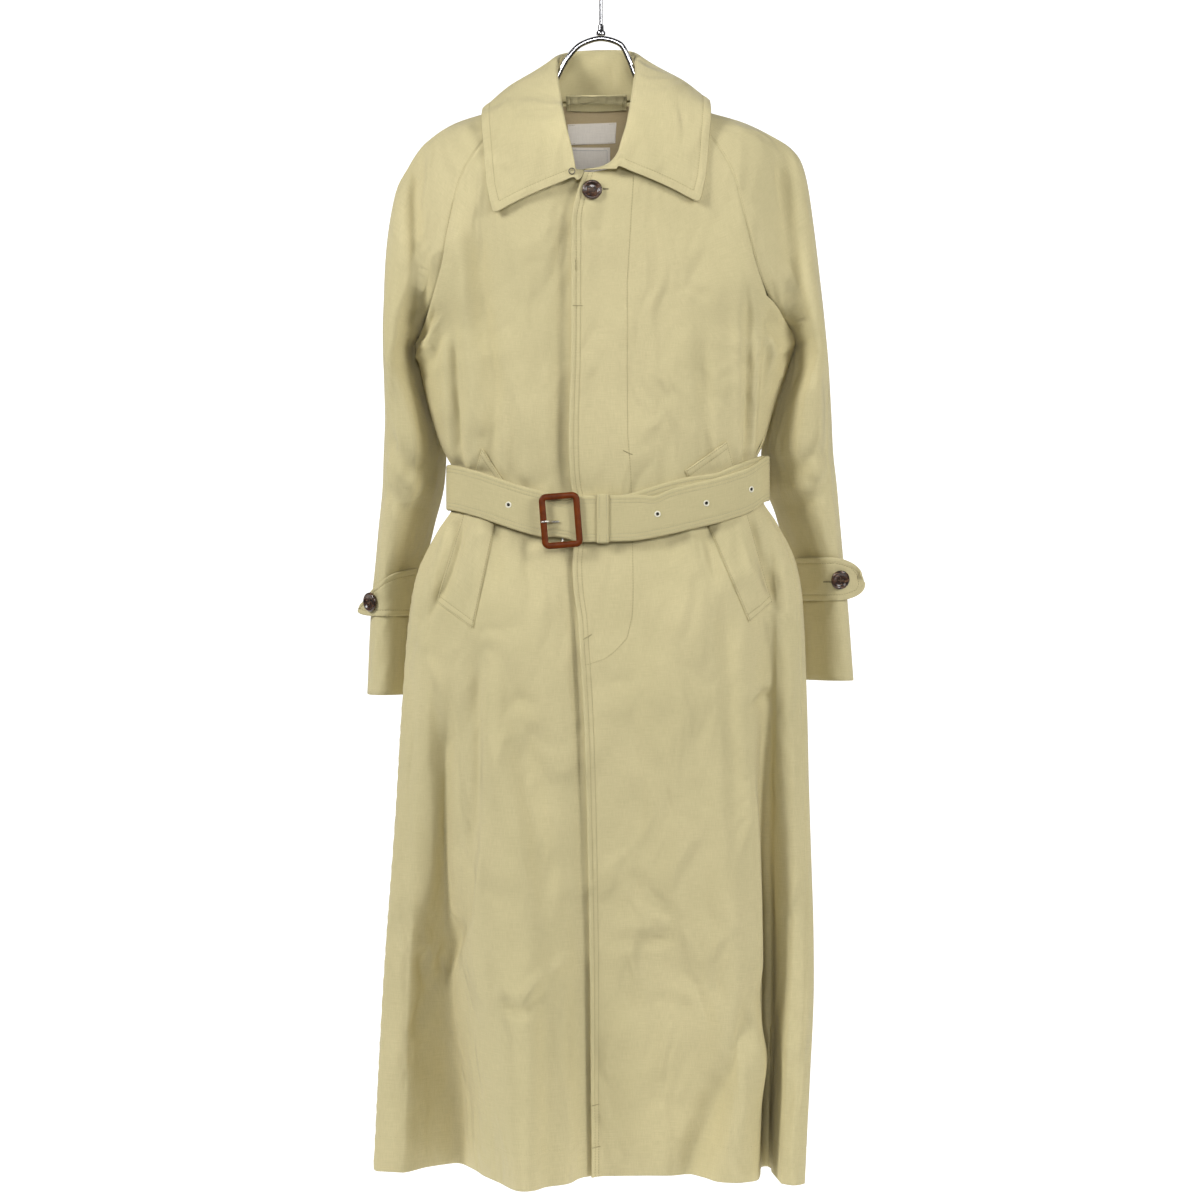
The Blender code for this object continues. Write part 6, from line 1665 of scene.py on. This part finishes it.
def make_eyelets(grid):
    """Rings of thread round the belt's holes, their turns a little uneven; each hole is a dark disc of
    painted shade on the belt's face.
    """
    for number, x in enumerate(EYELET_XS):
        point, normal = belt_front(grid, x)[:2]
        up = UPWARD
        side = np.cross(normal, up)
        centre = point + normal * (BELT_WALL / 2 + 0.25)
        points, faces = [], []
        around, corners = EYELET_STEPS
        for step in range(around):
            turn = 2 * math.pi * step / around
            out = side * math.cos(turn) + up * math.sin(turn)
            swell = 1.0 + 0.14 * (1 if step % 2 else -1)
            for corner in range(corners):
                angle = 2 * math.pi * corner / corners
                points.append(centre + out * (EYELET_RADIUS + EYELET_WIRE * 1.05 * math.cos(angle))
                              + normal * 0.62 * swell * math.sin(angle))
        for step in range(around):
            for corner in range(corners):
                here, there, ahead = step * corners, (step + 1) % around * corners, (corner + 1) % corners
                faces.append((here + corner, here + ahead, there + ahead, there + corner))
        ring = finish_faces("eyelet_%d_thread" % (number + 1), points, faces, "eyelet")
        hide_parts("eyelet_%d" % (number + 1))
        # A near-black disc on the belt's face: painted shade inside the hole.
        disc_piece("eyelet_%d_hole" % (number + 1), point + normal * (BELT_WALL / 2 + 0.12), side, up, normal,
                   EYELET_RADIUS - 0.2, "hole", "trim_metal", 24)


def disc_piece(name, centre, side, up, normal, radius, finish, slot, sides):
    """A small round plug with a slightly dished face."""
    profile = ((radius, -0.5), (radius, 0.0), (radius * 0.8, 0.06), (radius * 0.4, -0.05))
    return turned(name, centre, side, up, normal, profile, sides, finish, slot)


def turned(name, centre, side, up, normal, profile, sides, finish, slot, sharp=50):
    """A closed turned body: profile of (radius, height), its ends closed on the axis."""
    points = [centre + normal * profile[0][1], centre + normal * profile[-1][1]]
    for step in range(sides):
        turn = 2 * math.pi * step / sides
        out = side * math.cos(turn) + up * math.sin(turn)
        points.extend(centre + out * radius + normal * height for radius, height in profile)
    faces = []
    count = len(profile)
    for step in range(sides):
        a, b = 2 + step * count, 2 + (step + 1) % sides * count
        faces.append((0, b, a))
        faces.append((1, a + count - 1, b + count - 1))
        for ring in range(count - 1):
            faces.append((a + ring, b + ring, b + ring + 1, a + ring + 1))
    return finish_faces(name, points, faces, finish, sharp)


def make_button(name, centre, normal, turn_deg=40.0):
    """A four-hole horn button with a raised rim, sewn on with crossed thread; its holes are dark discs of
    painted shade on its face.
    """
    normal = np.asarray(normal, float) / np.linalg.norm(normal)
    side = np.cross(normal, (0.0, 0.0, 1.0))
    side /= np.linalg.norm(side)
    up = np.cross(side, normal)
    centre = np.asarray(centre, float)
    radius, thick = BUTTON_DIAMETER / 2, BUTTON_THICK
    profile = [(radius * wide, thick * high) for wide, high in BUTTON_PROFILE]
    body = turned(name + "_horn", centre, side, up, normal, profile, 64, "horn", "horn", 60)
    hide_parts(name)
    face = centre + normal * thick * 0.55
    turn = math.radians(turn_deg)
    a = side * math.cos(turn) + up * math.sin(turn)
    b = -side * math.sin(turn) + up * math.cos(turn)
    spots = [face + (a * u + b * v) * BUTTON_HOLE_AT for u, v in ((1, 1), (-1, 1), (-1, -1), (1, -1))]
    # Each hole is a near-black disc on the face: painted shade inside the hole.
    for number, spot in enumerate(spots):
        disc_piece("%s_hole_%d" % (name, number + 1), spot + normal * 0.05, side, up, normal,
                   BUTTON_HOLE_RADIUS, "hole", "horn", 16)
    for number, (start, end) in enumerate(((0, 2), (1, 3))):
        for offset in (-0.32, 0.32):
            way = spots[end] - spots[start]
            across = np.cross(way / np.linalg.norm(way), normal) * offset
            lift = normal * (0.55 + 0.25 * number)
            route = [spots[start] + across - normal * 0.2, spots[start] + across + lift * 0.8 + way * 0.08,
                     spots[start] + across + lift + way * 0.5, spots[end] + across + lift * 0.8 - way * 0.08,
                     spots[end] + across - normal * 0.2]
            tube("%s_thread_%d%s" % (name, number + 1, "a" if offset < 0 else "b"), smooth_route(route, 16),
                 0.26, "thread_dark", "horn", 8)


def make_strap(word, grid, normals):
    """A cuff strap on the front half of a sleeve, with its topstitching and its round end."""
    across = np.array(STRAPS[word], float)
    tip_x, tip_y, tip_top, tip_low = STRAP_TIPS[word]
    columns = np.linspace(across[0, 0], across[-1, 0], STRAP_COLUMNS)
    half = np.array(STRAP_ROWS)
    down = np.concatenate([half, 1 - half[-2::-1]])
    tops = read_table(across, columns)[:, 0]
    lows = read_table(across, columns)[:, 1]
    levels = -grid[UPPER_ROWS:, 0, 2]
    along = np.linspace(0, 1, grid.shape[1])
    both = np.concatenate([grid, normals], axis=-1)[UPPER_ROWS:]
    laid = np.empty((len(down), len(columns), 6))
    for j, column in enumerate(columns):
        heights = -(tops[j] + (lows[j] - tops[j]) * down)
        for axis in range(6):
            by_row = [np.interp(column, along, row[:, axis]) for row in both]
            laid[:, j, axis] = np.interp(heights, levels, by_row)
    outs = laid[..., 3:] / np.linalg.norm(laid[..., 3:], axis=-1, keepdims=True)
    laid = laid[..., :3] + outs * STRAP_LIFT
    start_top, start_low = laid[0, -1, 2], laid[-1, -1, 2]
    extra = []
    for turn in np.linspace(0, 90, STRAP_TIP_COLUMNS + 1)[1:]:
        share = math.sin(math.radians(turn))
        size = max(signed_power(math.cos(math.radians(turn)), 0.62), 0.2)
        line = laid[:, -1] + np.array((tip_x, tip_y, 0)) * share
        top = start_top + (tip_top - start_top) * share
        low = start_low + (tip_low - start_low) * share
        line[:, 2] = (top + low) / 2 + (0.5 - down) * (top - low) * size
        extra.append(line)
    full = np.concatenate([laid, np.stack(extra, axis=1)], axis=1)
    for axis in range(3):
        full[:, 38:50, axis] = (full[:, 37:49, axis] + full[:, 38:50, axis] + full[:, 39:51, axis]) / 3
    face = surface_normals(full, FORWARD)
    edge = np.minimum(from_edges(full, 0), from_end(full, 1))
    shape = -0.6 * bell(edge - STRAP_STITCH, 1.1) - 0.4 * bell(edge, 0.8)
    full = full + face * shape[..., None]
    face = surface_normals(full, FORWARD)
    piece = shell("cuff_strap_" + word, full, face, STRAP_WALL)
    last = len(columns) - 1
    height = arc_lengths(full, 0)[-1, last]
    routes = [beside_row(full, face, STRAP_STITCH, at_end, range(2, last), STRAP_WALL)
              for at_end in (False, True)]
    reach = math.hypot(tip_x, tip_y)
    spots = []
    for turn in np.linspace(90, -90, 25):
        angle = math.radians(turn)
        share = math.cos(angle) * (1 - STRAP_STITCH / reach)
        rise = (height / 2 - STRAP_STITCH) * signed_power(math.sin(angle), 0.8)
        local = height * max(math.sqrt(1 - share ** 2) ** 0.8, 0.16)
        spots.append((np.interp(0.5 - rise / local, down, np.arange(len(down))),
                      last + math.degrees(math.asin(share)) / 90 * STRAP_TIP_COLUMNS))
    rows_at, columns_at = np.array(spots).T
    points, turned_out = sample(full, rows_at, columns_at), sample(face, rows_at, columns_at)
    routes.append((points + turned_out * STRAP_WALL / 2, turned_out))
    thread = stitches("cuff_strap_%s_stitching" % word, routes)
    return full, face


def rest_on(outer, outs, place):
    """Where a button's flat back rests on a curved strap, and the way it faces."""
    normal = outs[place]
    away = (outer - outer[place]).reshape(-1, 3)
    near = np.linalg.norm(away, axis=1) < BUTTON_DIAMETER * 0.55
    return outer[place] + normal * ((away[near] @ normal).max() + 0.2), normal


def buttonhole(name, tree, start, end):
    """A worked slit: two close rows of thread and a dark line between, which is painted shade of the slit."""
    start, end = np.array(start, float), np.array(end, float)
    way = (end - start) / np.linalg.norm(end - start)
    across = np.array((-way[1], way[0]))
    routes = []
    for side in (-0.7, 0.7):
        routes.append(lay(tree, (start + across * side, end + across * side)))
    stitches(name, routes, pitch=0.55, length=0.9, radius=0.3, lift=0.05)
    points, outs = lay(tree, (start, end))
    # The near-black tube is painted shade inside the slit.
    tube(name + "_slit", smooth_route(points + outs * 0.05, 12), 0.24, "hole", "cloth", 8)


def make_neck_inside(back, back_out):
    """Lining, two blank labels and the hanging loop, inside the back of the neck."""
    columns = slice(14, back.shape[1] - 14)
    rows = slice(0, int(UPPER_ROWS * 0.72))
    grid = (back - back_out * (WALL + LAP_GAP))[rows, columns].copy()
    grid[:6] += (grid[6] - grid[:6]) * 0.12
    lining = shell("lining_back", grid, back_out[rows, columns], WALL, "lining")
    tree = tree_of(back - back_out * (WALL * 1.5 + LAP_GAP))
    for name, corners, lift, wall, kind in (("label_upper", LABEL_UPPER, LABEL_LIFT, LABEL_WALL, "label"),
                                            ("label_lower", LABEL_LOWER, LABEL_LIFT, LABEL_WALL, "label"),
                                            ("hanging_loop", HANGING_LOOP, LOOP_LIFT, LOOP_WALL, "cloth")):
        piece_grid = patch_grid(tree, corners, (14, 40), (lift, -60.0))
        wave = np.linspace(0, 1, piece_grid.shape[1])[None, :]
        rise = np.linspace(0, 1, piece_grid.shape[0])[:, None]
        if name == "hanging_loop":
            piece_grid[..., 1] -= 2.2 * np.sin(math.pi * wave) ** 0.7
            piece_grid[..., 2] -= 1.0 * np.sin(math.pi * wave)
        else:
            piece_grid[..., 1] -= 1.6 * rise ** 2 * (0.5 + 0.5 * np.cos(5.0 * wave)) + 0.3 * np.sin(7 * wave)
        face = surface_normals(piece_grid, FORWARD)
        piece = shell(name, piece_grid, face, wall, kind)
        routes, extra = [], []
        if name == "hanging_loop":
            for distance in (1.4, 4.2):
                for at_end in (False, True):
                    routes.append(beside_column(piece_grid, face, distance, at_end, None, wall))
        else:
            for at_end in (False, True):
                line, out = beside_row(piece_grid, face, 1.2, at_end, None, wall)
                routes.append((line[1:7], out[1:7]))
                routes.append((line[-7:-1], out[-7:-1]))
        if name == "label_lower":
            ends = (False, True)
            loops = [beside_row(piece_grid, face, BORDER_AT, at_end, range(3, 38), wall) for at_end in ends]
            loops += [beside_column(piece_grid, face, BORDER_AT, at_end, range(1, 14), wall)
                      for at_end in ends]
            extra.append(stitches(name + "_border", loops, "border", 0.7, 0.8, 0.2, 0.0))
        extra.append(stitches(name + "_stitching", routes, pitch=1.6, length=1.2, radius=0.2))


def make_hanger():
    """Bow, swivel and hook of a plain wire hanger."""
    bow = tube("hanger_bow_tube", smooth_route(HANGER_BOW, 160), TUBE_RADIUS, "chrome", "chrome", 28)
    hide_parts("hanger_bow")
    foot = HANGER_APEX_Z + TUBE_RADIUS + SWIVEL_PROFILE[-1][1] + 0.7
    hook = [(1.0, 2.0, foot), (1.0, 1.5, -80.0), (1.0, 0.5, -62.0), (4.0, 0.0, -50.0)]
    rise = HOOK_RADIUS + HOOK_WIRE
    for turn in range(-50, 215, 15):
        angle = math.radians(turn)
        hook.append((rise * math.cos(angle), 0.0, -HOOK_RADIUS + rise * math.sin(angle)))
    wire = tube("hanger_hook_wire", smooth_route(hook, 200), HOOK_WIRE, "hook_steel", "chrome", 24)
    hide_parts("hanger_hook")
    centre = np.array((1.0, 2.0, HANGER_APEX_Z + TUBE_RADIUS + 0.4))
    collar = turned("hanger_swivel_collar", centre, np.array((1.0, 0, 0)), BACKWARD, UPWARD,
                    COLLAR_OF_SWIVEL, 48, "hook_steel", "chrome")
    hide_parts("hanger_swivel")


def make_eye():
    """The small wire eye at the neck, a loop with two feet."""
    route = []
    for turn in range(0, 360, 10):
        angle = math.radians(turn)
        route.append(np.array(EYE_AT) + EYE_RADIUS * np.array((math.cos(angle), 0.0, math.sin(angle))))
    eye = tube("neck_hook_eye_wire", route, EYE_WIRE, "dark_wire", "trim_metal", 12, True)
    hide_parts("neck_hook_eye")


def front_stitching(grids, outs):
    """Rows beside the front edge, the fly's line, bar tacks, the hem's row and the raglan seams' rows."""
    right, out = grids["front_right"], outs["front_right"]
    tree = tree_of(right + out * WALL / 2)
    routes = [beside_column(right, out, distance, False) for distance in FRONT_EDGE_ROWS]
    routes.append(lay(tree, FLY_LINE))
    stitches("front_edge_stitching", routes)
    tacks = [lay(tree, route) for route in RIGHT_TACKS]
    stitches("front_bar_tacks", tacks, pitch=0.7, length=1.5, radius=0.5)
    hems = [beside_row(grids[name], outs[name], HEM_DEPTH, True) for name in PANELS[:3]]
    stitches("hem_stitching", hems, pitch=6.0, length=1.1, radius=0.14, lift=0.0)
    seams = []
    for word in ("left", "right"):
        for half in ("front", "back"):
            name = "sleeve_%s_%s" % (word, half)
            seams.append(beside_column(grids[name], outs[name], 1.6, False, range(0, UPPER_ROWS - 2)))
    stitches("raglan_stitching", seams, pitch=2.6, length=1.9, radius=0.16, lift=0.0)
    return tree


# ---------------------------------------------------------------- stage, light and camera, in metres
FLOOR_Z = -1.62
BACKDROP_HALF = 3.6  # each way from the middle
BACKDROP_SIDE = (-0.6, 4.6, 0.9, 3.6)  # y where its floor starts, y of its wall, the curve's radius, its top
BACKDROP_GLOW = 1.0
WORLD_LIGHT = 0.09
LAMPS = (
    # name, place, size, watts
    ("key", (-2.7, -1.8, 1.2), (0.9, 1.3), 108.0),
    ("fill", (2.5, -1.9, 0.4), (1.0, 1.4), 66.0),
    ("front", (0.0, -2.9, 0.15), (0.6, 0.6), 22.0),
)
LAMPS_AIM = (0.0, 0.0, -0.72)
NECK_LIGHT = ((-0.01, -3.0, -0.46), (-0.01, 0.03, -0.205), 2.5, 120.0)  # place, aim, cone in degrees, watts
CAMERA_PLACE = (0.0, -3.3, -0.739)
CAMERA_LENS = (90.0, 36.0)  # focal length and sensor width, millimetres


def place_in_scene(name, data, place, aim=None):
    """A light, camera or mesh put in the scene, and turned to what it aims at."""
    thing = bpy.data.objects.new(name, data)
    thing.location = place
    if aim:
        thing.rotation_euler = (Vector(aim) - Vector(place)).to_track_quat("-Z", "Y").to_euler()
    bpy.context.scene.collection.objects.link(thing)
    return thing


def make_backdrop():
    """A white sweep that glows, its floor well below the hem and its wall behind the orbit of the views."""
    made, tree, shader = new_material("studio_white")
    spot = add(tree, "ShaderNodeTexCoord")
    noise = texture(tree, "TexNoise", spot.outputs["Object"], Scale=2.0, Detail=2.0)
    grey = mixed(tree, ranged(tree, noise.outputs["Fac"], 0.3, 0.7), (0.30, 0.30, 0.30), (0.27, 0.27, 0.27))
    join(tree, grey, shader.inputs["Base Color"])
    settings(shader, Roughness=0.9, Emission_Color=(1.0, 1.0, 1.0, 1.0), Emission_Strength=BACKDROP_GLOW)
    start, wall, curve, top = BACKDROP_SIDE
    outline = [(start, FLOOR_Z)]
    outline += [(wall - curve + curve * math.sin(math.radians(turn)),
                 FLOOR_Z + curve - curve * math.cos(math.radians(turn))) for turn in range(0, 91, 6)]
    outline.append((wall, top))
    count = len(outline)
    points = [(x, y, z) for x in (-BACKDROP_HALF, BACKDROP_HALF) for y, z in outline]
    faces = [(step, count + step, count + step + 1, step + 1) for step in range(count - 1)]
    mesh = bpy.data.meshes.new("backdrop")
    mesh.from_pydata(points, [], faces)
    mesh.shade_smooth()
    mesh.materials.append(made)
    place_in_scene("backdrop", mesh, (0, 0, 0))


def light_and_camera():
    """A soft key and fill, a weak front light, a narrow light into the neck, and the photo's camera."""
    scene = bpy.context.scene
    world = bpy.data.worlds.new("studio")
    world.use_nodes = True
    world.node_tree.nodes["Background"].inputs[0].default_value = (1.0, 1.0, 1.0, 1.0)
    world.node_tree.nodes["Background"].inputs[1].default_value = WORLD_LIGHT
    scene.world = world
    for name, place, size, watts in LAMPS:
        lamp = bpy.data.lights.new(name, "AREA")
        lamp.shape = "RECTANGLE"
        lamp.size, lamp.size_y = size
        lamp.energy = watts
        place_in_scene(name, lamp, place, LAMPS_AIM)
    place, aim, cone, watts = NECK_LIGHT
    lamp = bpy.data.lights.new("neck_light", "SPOT")
    lamp.energy, lamp.spot_size, lamp.spot_blend, lamp.shadow_soft_size = watts, math.radians(cone), 1.0, 0.03
    place_in_scene("neck_light", lamp, place, aim)
    camera = bpy.data.cameras.new("camera")
    camera.lens, camera.sensor_width = CAMERA_LENS
    scene.camera = place_in_scene("camera", camera, CAMERA_PLACE)
    scene.camera.rotation_euler = (math.radians(90), 0.0, 0.0)
    scene.view_settings.view_transform = "Standard"


# ---------------------------------------------------------------- the whole
def main():
    make_backdrop()
    light_and_camera()
    grids, plain, seam = fine_grids()
    pieces, final, outs = make_panels(grids)
    fronts = tree_of(final["front_left"] + outs["front_left"] * WALL / 2,
                     final["front_right"] + outs["front_right"] * WALL / 2)
    collar, collar_rows, collar_thread = make_collar(seam)
    make_welt("left", fronts, WELT_LEFT)
    make_welt("right", fronts, WELT_RIGHT)
    belt = make_belt()
    make_buckle(belt)
    make_keeper(belt)
    make_eyelets(belt)
    for word in ("left", "right"):
        grid, normals = plain["sleeve_%s_front" % word]
        full, face = make_strap(word, grid, normals)
        place = (full.shape[0] // 2, STRAP_COLUMNS)
        make_button("button_cuff_" + word, *rest_on(full + face * STRAP_WALL / 2, face, place))
        if word == "right":
            strap_tree = tree_of(full + face * STRAP_WALL / 2)
            buttonhole("cuff_right_buttonhole", strap_tree, *CUFF_BUTTONHOLE)
    front_tree = front_stitching(final, outs)
    hit = front_tree.ray_cast(Vector((NECK_BUTTON_AT[0], -300.0, NECK_BUTTON_AT[1])), Vector(BACKWARD))
    make_button("button_neck", np.array(hit[0]) - (0, 0.4, 0), (0.0, -1.0, 0.12), 5.0)
    buttonhole("neck_buttonhole", front_tree, *NECK_BUTTONHOLE)
    make_eye()
    make_neck_inside(final["back"], outs["back"])
    make_hanger()


main()
